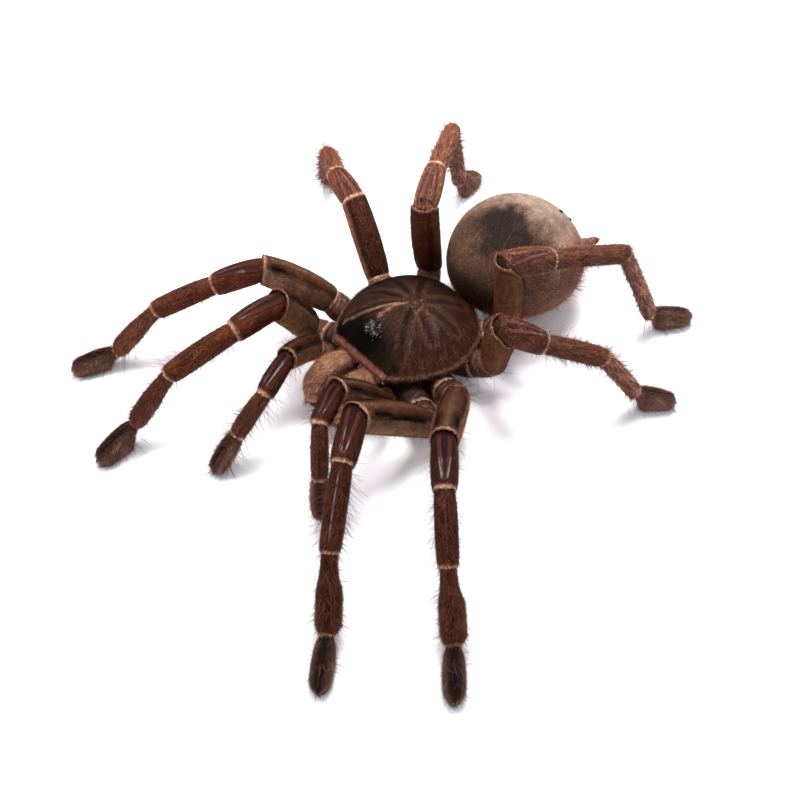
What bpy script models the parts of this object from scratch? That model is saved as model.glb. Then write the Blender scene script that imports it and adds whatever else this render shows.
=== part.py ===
"""A large dried tarantula specimen that stands on the pads of its eight feet.

The spider looks along -Y, its left side is +X and the ground is z = 0. Lengths below are in
millimetres. Places are given from the middle of the cephalothorax, with z above the ground.
"""

import math

import bpy
import numpy as np

MM = 0.001

# Place and tilt of the cephalothorax, and of the ring of hips below it
BODY_MIDDLE = np.array([-1.5, 7.7, 0.0])  # from the middle of the whole footprint
BODY_TILT = (17.1, -3.6, 0.0)  # height, pitch (positive lowers the front), roll (positive lifts the left)
HIP_TILT = (16.5, -2.0, 3.5)

# Carapace and sternum
CARAPACE_OUTLINE = (
    (0, -18.5),
    (7.2, -18.2),
    (11.0, -17.5),
    (16.7, -9.5),
    (19.6, 1),
    (16.1, 12.5),
    (8.2, 18.9),
    (0, 19.9),
)
RIM_LEVEL = -2.3
RIM_WAVE = 0.2  # the rim is this much higher at the front and rear, and lower at the sides
RIM_THICKNESS = 0.9
DOME_HEIGHT = 8.6
DOME_FULLNESS = 3.3  # the higher, the steeper the back falls to its rim
HEAD_RISE = 1.9  # the head stands this much above the dome
HEAD_HALF_WIDTH = 6.5
HEAD_END = -1.5  # how far back the head reaches before it slopes into the rest
FOVEA_Y = 4.5
FOVEA_DEPTH = 1.1
GROOVE_DEPTH = 0.45
GROOVE_COUNT = 6  # cycles of the radial grooves round the fovea
EYE_MOUND_Y = -13.5
EYE_MOUND_RISE = 1.2
FLANK_HALF_WIDTH = 7.2
FLANK_HALF_LENGTH = 12.0
FLANK_DROP = 3.2  # the flanks meet the underside of the carapace this far below its rim
STERNUM_LEVEL = -12.4
# Rings of the underside: share of the flank and height above the sternum
STERNUM_RINGS = ((0.45, 0.0), (0.92, 0.5), (1.0, 2.0))
CARAPACE_REACHES = (1.0, 0.97, 0.92, 0.84, 0.73, 0.6, 0.45, 0.3, 0.15)
OUTLINE_POINTS = 21  # along one half of the carapace

# Abdomen, an egg on a short stalk
ABDOMEN_MIDDLE = np.array([2.6, 38.8, 17.75])
ABDOMEN_LENGTH = 40.8
ABDOMEN_WIDTH = 39.0
ABDOMEN_HEIGHT = 32.6
ABDOMEN_HEADING = 92.3
ABDOMEN_PITCH = -6.9
ABDOMEN_SWELL = 0.12  # the rear is this much fuller than the front
ABDOMEN_SIDES = 28
ABDOMEN_RINGS = 11
ABDOMEN_FRONT_ANGLE = 0.55  # where the egg takes over from the stalk, in radians from its front
ABDOMEN_REAR_ANGLE = math.pi - 0.1
STALK_ROUTE = ((0.6, 17.9, 9.6), (1.4, 20.1, 11.0), (2.5, 21.1, 16.6))
STALK_RADII = (2.0, 2.3, 4.8)

# Jaws
CHELICERA_ROUTE = (
    (4.4, -13.8, 11.9),
    (4.7, -18.3, 12.2),
    (5.0, -23.0, 11.6),
    (5.2, -27.6, 9.0),
    (5.2, -32.4, 5.6),
)
CHELICERA_HALF_WIDTHS = (2.9, 3.5, 4.6, 4.8, 3.9)
CHELICERA_HALF_HEIGHTS = (2.2, 2.7, 4.8, 5.1, 3.9)
FANG_ROUTE = ((5.1, -32.0, 3.0), (4.9, -29.0, 2.3), (4.6, -26.2, 2.2), (4.2, -23.4, 2.9))
CHELICERA_SIDES = 14
CHELICERA_RINGS = 10
FANG_RADIUS = 1.1
FANG_TAPER = 0.85
FANG_SIDES = 8
FANG_RINGS = 7
BULB_END = 0.45  # share of a jaw's half-length that each rounded end takes
BULB_DEPTH = 0.9

# Spinnerets, grown from the rear of the abdomen
SPINNERET_ROOT = np.array([5.6, 57.0, 10.6])
SPINNERET_TIP = np.array([13.2, 64.6, 15.4])
SPINNERET_RADIUS = 1.9
SPINNERET_TAPER = 0.72
SPINNERET_SIDES = 8
SPINNERET_RINGS = 7

# Legs: femur, patella, tibia, metatarsus and tarsus. Pedipalps have no metatarsus.
LEG_LENGTHS = {
    "leg_1": (27.6, 15.7, 21.1, 19.9, 13.6),
    "leg_2": (25.3, 14.7, 18.2, 18.8, 13.3),
    "leg_3": (23.4, 13.3, 16.3, 19.8, 12.5),
    "leg_4": (26.8, 14.8, 22.0, 27.3, 13.5),
    "pedipalp": (20.6, 12.0, 14.3, 13.8),
}
# Half-widths of each segment at its base, belly and end, and its height over its width
FRONT_LEG_FORM = (
    (3.3, 4.2, 3.8, 1.16),
    (2.9, 3.5, 3.5, 1.05),
    (2.8, 3.2, 3.0, 1.03),
    (2.2, 2.8, 3.1, 0.95),
    (2.3, 3.2, 2.1, 0.85),
)
REAR_LEG_FORM = (
    (3.3, 4.3, 3.9, 1.06),
    (2.8, 3.3, 3.4, 1.03),
    (2.7, 3.0, 2.8, 1.0),
    (2.2, 2.3, 2.4, 1.0),
    (2.0, 2.6, 1.9, 0.9),
)
PALP_FORM = (
    (2.7, 3.2, 2.9, 1.12),
    (2.2, 2.6, 2.6, 1.05),
    (2.1, 2.4, 2.3, 1.03),
    (2.0, 2.9, 1.9, 0.85),
)
LEG_FORMS = {
    "leg_1": FRONT_LEG_FORM,
    "leg_2": FRONT_LEG_FORM,
    "leg_3": REAR_LEG_FORM,
    "leg_4": REAR_LEG_FORM,
    "pedipalp": PALP_FORM,
}
# Where each coxa starts and where each femur starts, from the middle of the tilted cephalothorax
COXA_STARTS = {
    "leg_1": (8.9, -9.6, -9.6),
    "leg_2": (10.4, -2.4, -9.4),
    "leg_3": (9.8, 4.9, -9.4),
    "leg_4": (7.4, 12.2, -9.2),
    "pedipalp": (6.4, -15.2, -10.8),
}
FEMUR_STARTS = {
    "leg_1": (24.6, -15.7, -9.6),
    "leg_2": (26.6, -6.4, -5.2),
    "leg_3": (24.0, 9.9, -4.7),
    "leg_4": (15.9, 23.1, -3.6),
    "pedipalp": (14.8, -21.6, -5.4),
}
# The soft abdomen pushes the left hind leg outwards
HIP_SHIFTS = {"left_leg_4": (1.8, -1.2, 1.8)}
COXA_HALF_WIDTH = {"leg_1": 3.4, "leg_2": 3.4, "leg_3": 3.3, "leg_4": 3.2, "pedipalp": 2.3}
TROCHANTER_LENGTH = 5.5
TROCHANTER_RISE = 0.35  # share of the height from coxa to femur that the coxa takes
# Rings along each segment, from the coxa on
LEG_RINGS = (2, 1, 4, 2, 2, 3, 4)
PALP_RINGS = (2, 1, 3, 2, 2, 4)
# Heading and pitch of every segment in the pose, in degrees; heading 0 is +X and -90 straight ahead
POSES = {
    "right_leg_1": ((-72, 60), (-83, 10), (-113, -28), (-110, -50), (-89, -20)),
    "right_leg_2": ((-118, 44), (-127, -18), (-117, -17), (-114, -42), (-112, -10)),
    "right_leg_3": ((164, 49), (163, -2), (151, -18), (146, -61), (145, -9)),
    "right_leg_4": ((112, 97), (125, 4), (124, -10), (120, -71), (102, -32)),
    "left_leg_1": ((-100, 40), (-52, 5), (-52, -32), (-45, -37), (-49, -9)),
    "left_leg_2": ((-52, 27), (-43, -1), (-40, -25), (-38, -38), (-42, -9)),
    "left_leg_3": ((-31, 70), (57, -34), (41, -13), (57, -57), (50, -21)),
    "left_leg_4": ((-62, 82), (78, -21), (64, -11), (53, -67), (57, -15)),
    "right_pedipalp": ((-64, 39), (-68, -7), (-101, -49), (-101, -52)),
    "left_pedipalp": ((-101, 48), (-60, 5), (-46, -57), (-45, -74)),
}
JOINT_STEP = 0.7  # length of the step down from a rim to the next segment
RIM_FLARE = 0.25
CORNER_LIMIT = 0.2  # how far the outside of a bend may reach, over the half-width
ROOT_TAPER = 0.8
ROOT_SHARE = 0.08
TIP_SHARE = 0.93
LEAST_RUN = 0.05  # share of a segment that its rings cover at least
TOE_START = 0.7  # share of the tarsus where it starts to round off
TOE_TAPER = 0.35
SOLE_DEPTH = 1.0
SIDES = 10
UPRIGHT_LIMIT = 0.2  # a segment steeper than this keeps the turn of the one before

COLOURS = {
    "cephalothorax": (0.105, 0.047, 0.029),
    "abdomen": (0.150, 0.100, 0.075),
    "chelicera": (0.155, 0.080, 0.050),
    "fang": (0.012, 0.008, 0.007),
    "leg": (0.120, 0.047, 0.030),
    "pedipalp": (0.130, 0.052, 0.032),
}


def unit(vector):
    vector = np.asarray(vector, float)
    return vector / np.linalg.norm(vector)


def direction(heading, pitch):
    heading, pitch = math.radians(heading), math.radians(pitch)
    return np.array(
        [math.cos(heading) * math.cos(pitch), math.sin(heading) * math.cos(pitch), math.sin(pitch)]
    )


def tilted(local, tilt):
    """Turns points given from the middle of the level body into the standing one."""
    height, pitch, roll = tilt[0], math.radians(tilt[1]), math.radians(tilt[2])
    about_x = np.array(
        [[1, 0, 0], [0, math.cos(pitch), -math.sin(pitch)], [0, math.sin(pitch), math.cos(pitch)]]
    )
    about_y = np.array([[math.cos(roll), 0, -math.sin(roll)], [0, 1, 0], [math.sin(roll), 0, math.cos(roll)]])
    return np.asarray(local, float) @ (about_y @ about_x).T + np.array([0, 0, height])


def mirrored(point, side):
    return np.asarray(point, float) * (side, 1, 1)


def smooth_curve(points, count):
    """Points on a Catmull-Rom curve through the given ones, evenly shared between them."""
    points = np.asarray(points, float)
    padded = np.vstack([2 * points[0] - points[1], points, 2 * points[-1] - points[-2]])
    where = np.linspace(0, len(points) - 1, count)
    span = np.minimum(where.astype(int), len(points) - 2)
    t = (where - span)[:, None]
    a, b, c, d = (padded[span + i] for i in range(4))
    return b + t / 2 * (c - a + t * (2 * a - 5 * b + 4 * c - d + t * (3 * (b - c) + d - a)))


def material(name, colour, roughness):
    made = bpy.data.materials.new(name)
    made.use_nodes = True
    shader = made.node_tree.nodes["Principled BSDF"]
    shader.inputs["Base Color"].default_value = (*colour, 1)
    shader.inputs["Roughness"].default_value = roughness
    return made


def solid(name, rings, colour, roughness=0.75):
    """One closed body from rings of points in order, with a fan of triangles over each end."""
    count = len(rings[0])
    points = np.vstack([*rings, rings[0].mean(axis=0), rings[-1].mean(axis=0)]) + BODY_MIDDLE
    around = [(i, (i + 1) % count) for i in range(count)]
    faces = []
    for ring in range(len(rings) - 1):
        low, high = ring * count, (ring + 1) * count
        faces += [(low + i, low + j, high + j, high + i) for i, j in around]
    last = (len(rings) - 1) * count
    start, end = len(points) - 2, len(points) - 1
    faces += [(start, j, i) for i, j in around]
    faces += [(end, last + i, last + j) for i, j in around]
    mesh = bpy.data.meshes.new(name)
    mesh.from_pydata((points * MM).tolist(), [], faces)
    mesh.materials.append(material(name, colour, roughness))
    mesh.shade_smooth()
    made = bpy.data.objects.new(name, mesh)
    bpy.context.scene.collection.objects.link(made)
    return made


def swelling(form, t):
    """Half-width at a share t of a segment, through its base, belly and end values."""
    base, belly, end = form[:3]
    return base * (1 - t) * (1 - 2 * t) + belly * 4 * t * (1 - t) + end * t * (2 * t - 1)


def turned(vector, old, new):
    """The vector carried by the smallest turn that takes the old direction to the new one."""
    axis = np.cross(old, new)
    cosine = old @ new
    return vector * cosine + np.cross(axis, vector) + axis * (axis @ vector) / (1 + cosine)


class Limb:
    """Rings along a chain of straight segments, mitred where two segments meet."""

    def __init__(self, along):
        self.along = along
        self.side = unit(np.cross((0, 0, 1), along))
        self.rings = []

    def aim(self, along):
        self.side = turned(self.side, self.along, along)
        self.along = along

    def section(self, half_width, half_height):
        """Offsets of an upright ellipse across the limb, in the order of the running ring."""
        width_axis = np.cross((0, 0, 1), self.along)
        width_axis = unit(width_axis) if np.linalg.norm(width_axis) > UPRIGHT_LIMIT else self.side
        height_axis = np.cross(self.along, width_axis)
        angle = np.linspace(0, 2 * math.pi, SIDES, endpoint=False)[:, None]
        ray = np.cos(angle) * self.side + np.sin(angle) * np.cross(self.along, self.side)
        reach = 1 / np.hypot(ray @ width_axis / half_width, ray @ height_axis / half_height)
        return ray * reach[:, None]

    def ring(self, centre, half_width, half_height):
        self.rings.append(centre + self.section(half_width, half_height))

    def mitre(self, centre, half_width, half_height, plane, outer):
        """A ring slid along the limb onto the plane of a joint; outer is +1 where a segment ends
        and -1 where the next begins, and the slide is held back on the outside of the bend."""
        offset = self.section(half_width, half_height)
        slide = -(offset @ plane) / (self.along @ plane)
        slide = outer * np.minimum(outer * slide, CORNER_LIMIT * half_width)
        self.rings.append(centre + offset + slide[:, None] * self.along)


def bend_share(way, next_way):
    """Tangent of half the angle between two segments."""
    return math.tan(math.acos(np.clip(way @ next_way, -1, 1)) / 2)


def limb_rings(points, forms, steps):
    """Rings of a limb whose joints lie at the points, one form and one count of rings per segment."""
    ways = [unit(b - a) for a, b in zip(points, points[1:])]
    limb = Limb(ways[0])
    limb.ring(points[0], ROOT_TAPER * forms[0][0], ROOT_TAPER * forms[0][0] * forms[0][3])
    for i, (way, form, count) in enumerate(zip(ways, forms, steps)):
        length = np.linalg.norm(points[i + 1] - points[i])
        last_segment = i + 1 == len(ways)
        first, last = ROOT_SHARE, TIP_SHARE
        if i:
            limb.aim(way)
            limb.mitre(points[i] + JOINT_STEP * way, form[0], form[0] * form[3], unit(ways[i - 1] + way), -1)
            first = (form[1] * form[3] * bend_share(ways[i - 1], way) + 2 * JOINT_STEP) / length
        if not last_segment:
            inner_corner = max(form[1:3]) * form[3] * bend_share(way, ways[i + 1])
            last = 1 - (inner_corner + JOINT_STEP) / length
        for t in np.linspace(first, max(last, first + LEAST_RUN), count):
            half = swelling(form, t)
            if last_segment:
                half *= math.sqrt(1 - (max(t - TOE_START, 0) / (1 - TOE_START)) ** 2)
            limb.ring(points[i] + t * length * way, half, half * form[3])
        if not last_segment:
            half = form[2] + RIM_FLARE
            limb.mitre(points[i + 1], half, half * form[3], unit(way + ways[i + 1]), 1)
    tip = TOE_TAPER * forms[-1][2]
    limb.ring(points[-1], tip, tip * forms[-1][3])
    return limb.rings


def chain(name, side, kind):
    """Joint places of a leg: coxa start, trochanter, femur start and the end of every segment."""
    coxa = tilted(mirrored(COXA_STARTS[kind], side), HIP_TILT)
    femur = tilted(mirrored(FEMUR_STARTS[kind], side), HIP_TILT) + HIP_SHIFTS.get(name, (0, 0, 0))
    flat = (femur - coxa) * (1, 1, 0)
    back = unit(flat) * TROCHANTER_LENGTH
    trochanter = femur - back
    trochanter[2] = coxa[2] + TROCHANTER_RISE * (femur[2] - coxa[2])
    points = [coxa, trochanter, femur]
    for (heading, pitch), length in zip(POSES[name], LEG_LENGTHS[kind]):
        points.append(points[-1] + length * direction(heading, pitch))
    return points


def flatten_sole(ring):
    """Stretches the lower half of a ring down through the ground, where it is then cut flat."""
    middle = ring[:, 2].mean()
    below = middle - ring[:, 2]
    ring[:, 2] = middle - np.where(below > 0, below * (middle + SOLE_DEPTH) / below.max(), below)


def make_limb(name, side, kind):
    points = chain(name, side, kind)
    wide = COXA_HALF_WIDTH[kind]
    forms = [(0.9 * wide, wide, wide, 1.1), (wide, 1.05 * wide, 0.95 * wide, 1.08), *LEG_FORMS[kind]]
    if kind == "pedipalp":
        rings = limb_rings(points, forms, PALP_RINGS)
    else:
        rings = limb_rings(points, forms, LEG_RINGS)
        for ring in rings[-4:-1]:
            flatten_sole(ring)
    for ring in rings:
        ring[:, 2] = np.maximum(ring[:, 2], 0)
    return solid(name, rings, COLOURS[kind.split("_")[0]])


def carapace_height(x, y, reach):
    """Height of the back above its rim; reach is 0 at the middle and 1 on the rim."""
    dome = DOME_HEIGHT * (1 - reach**DOME_FULLNESS)
    inside = 1 - reach**6
    head = HEAD_RISE * np.exp(-((x / HEAD_HALF_WIDTH) ** 2)) / (1 + np.exp((y - HEAD_END) / 2.2)) * inside
    mound = EYE_MOUND_RISE * np.exp(-((x / 2.6) ** 2) - ((y - EYE_MOUND_Y) / 2.2) ** 2)
    pit = FOVEA_DEPTH * np.exp(-((x / 1.8) ** 2) - ((y - FOVEA_Y) / 1.1) ** 2)
    angle = np.arctan2(x, -(y - FOVEA_Y))
    spread = np.hypot(x, y - FOVEA_Y)
    grooves = GROOVE_DEPTH * np.cos(angle * GROOVE_COUNT) * np.clip((spread - 2) / 6, 0, 1) * inside
    return dome + head + mound - pit - grooves


def make_cephalothorax():
    half = smooth_curve(CARAPACE_OUTLINE, OUTLINE_POINTS)
    outline = np.vstack([half, half[-2:0:-1] * (-1, 1)])
    theta = np.arctan2(outline[:, 0], -outline[:, 1])
    rim = RIM_LEVEL + RIM_WAVE * np.cos(2 * theta)
    rings = []
    flank = np.stack([FLANK_HALF_WIDTH * np.sin(theta), -FLANK_HALF_LENGTH * np.cos(theta)], -1)
    for share, rise in STERNUM_RINGS:
        rings.append(np.column_stack([flank * share, np.full(len(flank), STERNUM_LEVEL + rise)]))
    rings.append(np.column_stack([flank, rim - FLANK_DROP]))
    rings.append(np.column_stack([outline * 0.86, rim - RIM_THICKNESS - 0.3]))
    rings.append(np.column_stack([outline * 0.985, rim - RIM_THICKNESS]))
    for reach in CARAPACE_REACHES:
        flat = outline * reach
        rings.append(np.column_stack([flat, rim + carapace_height(flat[:, 0], flat[:, 1], reach)]))
    return solid("cephalothorax", [tilted(ring, BODY_TILT) for ring in rings], COLOURS["cephalothorax"])


def make_abdomen():
    along = direction(ABDOMEN_HEADING, ABDOMEN_PITCH)
    across = unit(np.cross((0, 0, 1), along))
    up = np.cross(along, across)
    turn = np.linspace(0, 2 * math.pi, ABDOMEN_SIDES, endpoint=False)[:, None]
    rings = []
    for centre, radius in zip(STALK_ROUTE, STALK_RADII):
        rings.append(centre + radius * (np.cos(turn) * across + np.sin(turn) * up))
    for cosine in np.cos(np.linspace(ABDOMEN_FRONT_ANGLE, ABDOMEN_REAR_ANGLE, ABDOMEN_RINGS)):
        stretch = math.sqrt(1 - cosine**2) * (1 - ABDOMEN_SWELL * cosine)
        centre = ABDOMEN_MIDDLE - along * ABDOMEN_LENGTH / 2 * cosine
        sideways = np.cos(turn) * across * ABDOMEN_WIDTH / 2
        rings.append(centre + stretch * (sideways + np.sin(turn) * up * ABDOMEN_HEIGHT / 2))
    return solid("abdomen", rings, COLOURS["abdomen"])


def tube(name, route, half_widths, half_heights, sides, colour, roughness):
    """A rounded tube along a curved route; its sections stay upright."""
    rings = []
    ways = np.gradient(route, axis=0)
    for centre, way, wide, high in zip(route, ways, half_widths, half_heights):
        way = unit(way)
        across = unit(np.cross((0, 0, 1), way))
        up = np.cross(way, across)
        turn = np.linspace(0, 2 * math.pi, sides, endpoint=False)[:, None]
        rings.append(centre + wide * np.cos(turn) * across + high * np.sin(turn) * up)
    return solid(name, rings, colour, roughness)


def rounded(t):
    """Share of the full width along a bulb whose two ends are rounded off."""
    past = np.clip(np.abs(2 * t - 1) - (1 - BULB_END), 0, 1) / BULB_END
    return np.sqrt(1 - BULB_DEPTH * past**2)


def make_jaw(side_name, side):
    t = np.linspace(0, 1, CHELICERA_RINGS)
    sizes = np.column_stack([CHELICERA_HALF_WIDTHS, CHELICERA_HALF_HEIGHTS])
    wide, high = (smooth_curve(sizes, CHELICERA_RINGS) * rounded(t)[:, None]).T
    route = smooth_curve(CHELICERA_ROUTE, CHELICERA_RINGS) * (side, 1, 1)
    tube(f"{side_name}_chelicera", route, wide, high, CHELICERA_SIDES, COLOURS["chelicera"], 0.6)
    t = np.linspace(0, 1, FANG_RINGS)
    route = smooth_curve(FANG_ROUTE, FANG_RINGS) * (side, 1, 1)
    radius = FANG_RADIUS * (1 - FANG_TAPER * t**1.5)
    tube(f"{side_name}_fang", route, radius, radius, FANG_SIDES, COLOURS["fang"], 0.2)


def grow_spinneret(abdomen, side_name, side):
    middle = ABDOMEN_MIDDLE * (1, 0, 0)
    t = np.linspace(0, 1, SPINNERET_RINGS)
    root, tip = ((end - middle) * (side, 1, 1) + middle for end in (SPINNERET_ROOT, SPINNERET_TIP))
    radius = SPINNERET_RADIUS * (1 - SPINNERET_TAPER * t**2)
    route = root + (tip - root) * t[:, None]
    grown = tube(f"{side_name}_spinneret", route, radius, radius, SPINNERET_SIDES, COLOURS["abdomen"], 0.8)
    grown.hide_render = True
    grown.display_type = "WIRE"
    union = abdomen.modifiers.new(grown.name, "BOOLEAN")
    union.operation = "UNION"
    union.object = grown


for old in list(bpy.data.objects):
    bpy.data.objects.remove(old)
make_cephalothorax()
abdomen = make_abdomen()
for side_name, side in (("left", 1), ("right", -1)):
    make_jaw(side_name, side)
    grow_spinneret(abdomen, side_name, side)
    make_limb(f"{side_name}_pedipalp", side, "pedipalp")
    for number in (1, 2, 3, 4):
        make_limb(f"{side_name}_leg_{number}", side, f"leg_{number}")
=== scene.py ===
import math
import bpy
import numpy as np
from mathutils import Matrix, Vector


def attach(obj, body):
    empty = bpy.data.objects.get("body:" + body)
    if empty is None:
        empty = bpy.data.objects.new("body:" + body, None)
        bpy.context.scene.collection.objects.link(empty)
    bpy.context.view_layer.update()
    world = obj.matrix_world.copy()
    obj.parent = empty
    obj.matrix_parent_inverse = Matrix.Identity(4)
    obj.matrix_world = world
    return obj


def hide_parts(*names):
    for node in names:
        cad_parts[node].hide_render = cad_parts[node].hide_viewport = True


# Lengths are in millimetres. x runs to the spider's left, y to its rear and z up, and places are
# taken from the middle of the cephalothorax on the ground, bodyMiddle away from the row's origin.
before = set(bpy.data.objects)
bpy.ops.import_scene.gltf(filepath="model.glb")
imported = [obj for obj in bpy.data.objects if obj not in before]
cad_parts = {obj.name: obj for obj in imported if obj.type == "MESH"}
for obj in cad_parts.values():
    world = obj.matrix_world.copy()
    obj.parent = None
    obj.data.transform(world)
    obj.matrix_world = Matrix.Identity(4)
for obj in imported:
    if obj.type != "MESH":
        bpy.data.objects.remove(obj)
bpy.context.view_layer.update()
dice = np.random.default_rng(11)  # every random number comes from here, in order
mm = 0.001
bodyMiddle = np.array([-1.5, 7.7, 0.0])


def unit(vector):
    vector = np.asarray(vector, float)
    return vector / np.linalg.norm(vector, axis=-1, keepdims=True)


def direction(heading, pitch):
    heading, pitch = math.radians(heading), math.radians(pitch)
    level = math.cos(pitch)
    return np.array([math.cos(heading) * level, math.sin(heading) * level, math.sin(pitch)])


def linear(hexCode):  # sRGB hex to linear colour
    value = np.array([int(hexCode[i : i + 2], 16) for i in (1, 3, 5)]) / 255
    return np.where(value <= 0.04045, value / 12.92, ((value + 0.055) / 1.055) ** 2.4)


def ease(low, high, x):  # 0 below low, 1 above high, smooth between
    t = np.clip((x - low) / (high - low), 0, 1)
    return t * t * (3 - 2 * t)


def bell(x, middle, width):  # 1 at the middle, falling off over the width
    return np.exp(-(((x - middle) / width) ** 2))


def mixed(colour, other, share):  # colour towards other by share, array by array
    share = np.clip(share, 0, 1)[..., None]
    return colour * (1 - share) + other * share


def layered(tint, tones, layers):  # one tone after another laid over the colours, each by its share
    for key, share in layers:
        tint = mixed(tint, tones[key], share)
    return tint


def clouds(points, pitch, waves=20):  # soft random patches, about pitch millimetres wide, from -1 to 1
    ways = unit(dice.normal(size=(waves, 3))) * dice.uniform(2.5, 5, (waves, 1)) / pitch
    phases = dice.uniform(0, 2 * math.pi, waves)
    total = sum(np.cos(points @ way + phase) for way, phase in zip(ways, phases))
    return np.clip(total / math.sqrt(waves), -1, 1)


def smoothCurve(points, count):  # Catmull-Rom curve through the points, evenly shared between them
    points = np.asarray(points, float)
    padded = np.vstack([2 * points[0] - points[1], points, 2 * points[-1] - points[-2]])
    where = np.linspace(0, len(points) - 1, count)
    span = np.minimum(where.astype(int), len(points) - 2)
    t = (where - span)[:, None]
    a, b, c, d = (padded[span + i] for i in range(4))
    return b + t / 2 * (c - a + t * (2 * a - 5 * b + 4 * c - d + t * (3 * (b - c) + d - a)))


# Meshes

def tubeFaces(rows, columns):
    # triangles of a grid closed round its columns, with a fan on the pole after the last point at each end
    row, column = np.meshgrid(np.arange(rows - 1), np.arange(columns), indexing="ij")
    low, high, after = row * columns, (row + 1) * columns, (column + 1) % columns
    first = np.stack([low + column, low + after, high + after], -1).reshape(-1, 3)
    second = np.stack([low + column, high + after, high + column], -1).reshape(-1, 3)
    around, following = np.arange(columns), (np.arange(columns) + 1) % columns
    start, end, last = rows * columns, rows * columns + 1, (rows - 1) * columns
    startFan = np.stack([np.full(columns, start), following, around], -1)
    endFan = np.stack([np.full(columns, end), last + around, last + following], -1)
    return np.vstack([first, second, startFan, endFan])


def withPoles(values):  # a grid as a list, followed by the means of its first and last rows
    flat = values.reshape(-1, values.shape[-1])
    return np.vstack([flat, values[0].mean(axis=0), values[-1].mean(axis=0)])


class Coat:
    # gathers shells and hairs, each with its colour, gloss and grain, into one mesh
    def __init__(self):
        self.points, self.faces, self.tint, self.gloss, self.grain, self.normals = [], [], [], [], [], []
        self.count = 0

    def add(self, points, faces, tint, gloss=None, grain=None, normals=None):
        self.points.append(points)
        self.faces.append(faces + self.count)
        self.tint.append(tint)
        self.gloss.append(np.zeros(len(points)) if gloss is None else gloss)
        self.grain.append(points if grain is None else grain)
        if normals is not None:
            self.normals.append(normals)
        self.count += len(points)

    def addShell(self, shell):
        rows, columns = shell["points"].shape[:2]
        points, tint, grain = (withPoles(shell[key]) for key in ("points", "tint", "grain"))
        gloss = withPoles(shell["gloss"][..., None])[:, 0]
        self.add(points, tubeFaces(rows, columns), tint, gloss, grain)

    def piece(self, name, material, slot, *nodes):
        points, faces = np.vstack(self.points), np.vstack(self.faces).astype(np.int32)
        mesh = bpy.data.meshes.new(name)
        mesh.vertices.add(len(points))
        mesh.vertices.foreach_set("co", ((points + bodyMiddle) * mm).astype(np.float32).ravel())
        mesh.loops.add(faces.size)
        mesh.loops.foreach_set("vertex_index", faces.ravel())
        mesh.polygons.add(len(faces))
        mesh.polygons.foreach_set("loop_start", np.arange(0, faces.size, 3, dtype=np.int32))
        mesh.update(calc_edges=True)
        colours = np.column_stack([np.vstack(self.tint), np.ones(len(points))])
        for key, kind, field, values in (
            ("tint", "FLOAT_COLOR", "color", colours),
            ("gloss", "FLOAT", "value", np.concatenate(self.gloss)),
            ("grain", "FLOAT_VECTOR", "vector", np.vstack(self.grain)),
        ):
            attribute = mesh.attributes.new(key, kind, "POINT")
            attribute.data.foreach_set(field, values.astype(np.float32).ravel())
        mesh.shade_smooth()
        if self.normals:
            mesh.normals_split_custom_set_from_vertices(np.vstack(self.normals).tolist())
        mesh.materials.append(material)
        made = bpy.data.objects.new(name, mesh)
        bpy.context.scene.collection.objects.link(made)
        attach(made, "root")
        if nodes:
            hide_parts(*nodes)


def sweep(route, wide, high, columns):
    # upright ellipses along a route
    ways = unit(np.gradient(route, axis=0))
    across = unit(np.cross((0, 0, 1), ways))
    up = np.cross(ways, across)
    turn = np.linspace(0, 2 * math.pi, columns, endpoint=False)[None, :, None]
    sideways = wide[:, None, None] * np.cos(turn) * across[:, None]
    upwards = high[:, None, None] * np.sin(turn) * up[:, None]
    return route[:, None] + (sideways + upwards)


def plainShell(points, colour, gloss):  # a surface of one colour
    return {"points": points, "tint": np.broadcast_to(linear(colour), points.shape),
            "gloss": np.full(points.shape[:2], float(gloss)), "grain": points}


# Hairs

def places(points, weight, count):
    # random places on the cells of a grid, by area times weight: row, column and shares across the cell
    chance = cellAreas(points) * weight[:-1]
    steps = np.cumsum(chance.ravel())
    cell = np.searchsorted(steps, dice.random(count) * steps[-1])
    row, column = np.unravel_index(np.minimum(cell, steps.size - 1), chance.shape)
    return row, column, dice.random(count)[:, None], dice.random(count)[:, None]


def cellAreas(points):
    down = points[1:] - points[:-1]
    across = (np.roll(points, -1, axis=1) - points)[:-1]
    return np.linalg.norm(np.cross(across, down), axis=-1)


def read(values, where):  # a grid's values at such places
    row, column, u, v = where
    after = (column + 1) % values.shape[1]
    low = values[row, column] * (1 - v) + values[row, after] * v
    return low * (1 - u) + (values[row + 1, column] * (1 - v) + values[row + 1, after] * v) * u


def bead(centre, radius, colour, gloss, columns=14):  # a small ball, from two angles
    turn = np.linspace(0, 2 * math.pi, columns, endpoint=False)
    tip = np.linspace(0.15, math.pi - 0.15, columns * 2 // 3)[:, None]
    ball = np.stack([np.sin(tip) * np.cos(turn), np.sin(tip) * np.sin(turn), -np.cos(tip) + 0 * turn], -1)
    return plainShell(np.asarray(centre) + np.asarray(radius) * ball, colour, gloss)


def nearLine(x, y, route):  # distance to a broken line
    nearest = np.full(np.shape(x), 1e9)
    for (ax, ay), (bx, by) in zip(route, route[1:]):
        run = np.hypot(bx - ax, by - ay) ** 2
        share = np.clip(((x - ax) * (bx - ax) + (y - ay) * (by - ay)) / run, 0, 1)
        nearest = np.minimum(nearest, np.hypot(x - ax - share * (bx - ax), y - ay - share * (by - ay)))
    return nearest


def surfaceNormals(points):
    # right angles to the surface at each grid point: the way round times the way along
    along = np.gradient(points, axis=0)
    around = np.roll(points, -1, axis=1) - np.roll(points, 1, axis=1)
    normal = np.cross(around, along)
    return normal / np.maximum(np.linalg.norm(normal, axis=-1, keepdims=True), 1e-9), along


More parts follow.
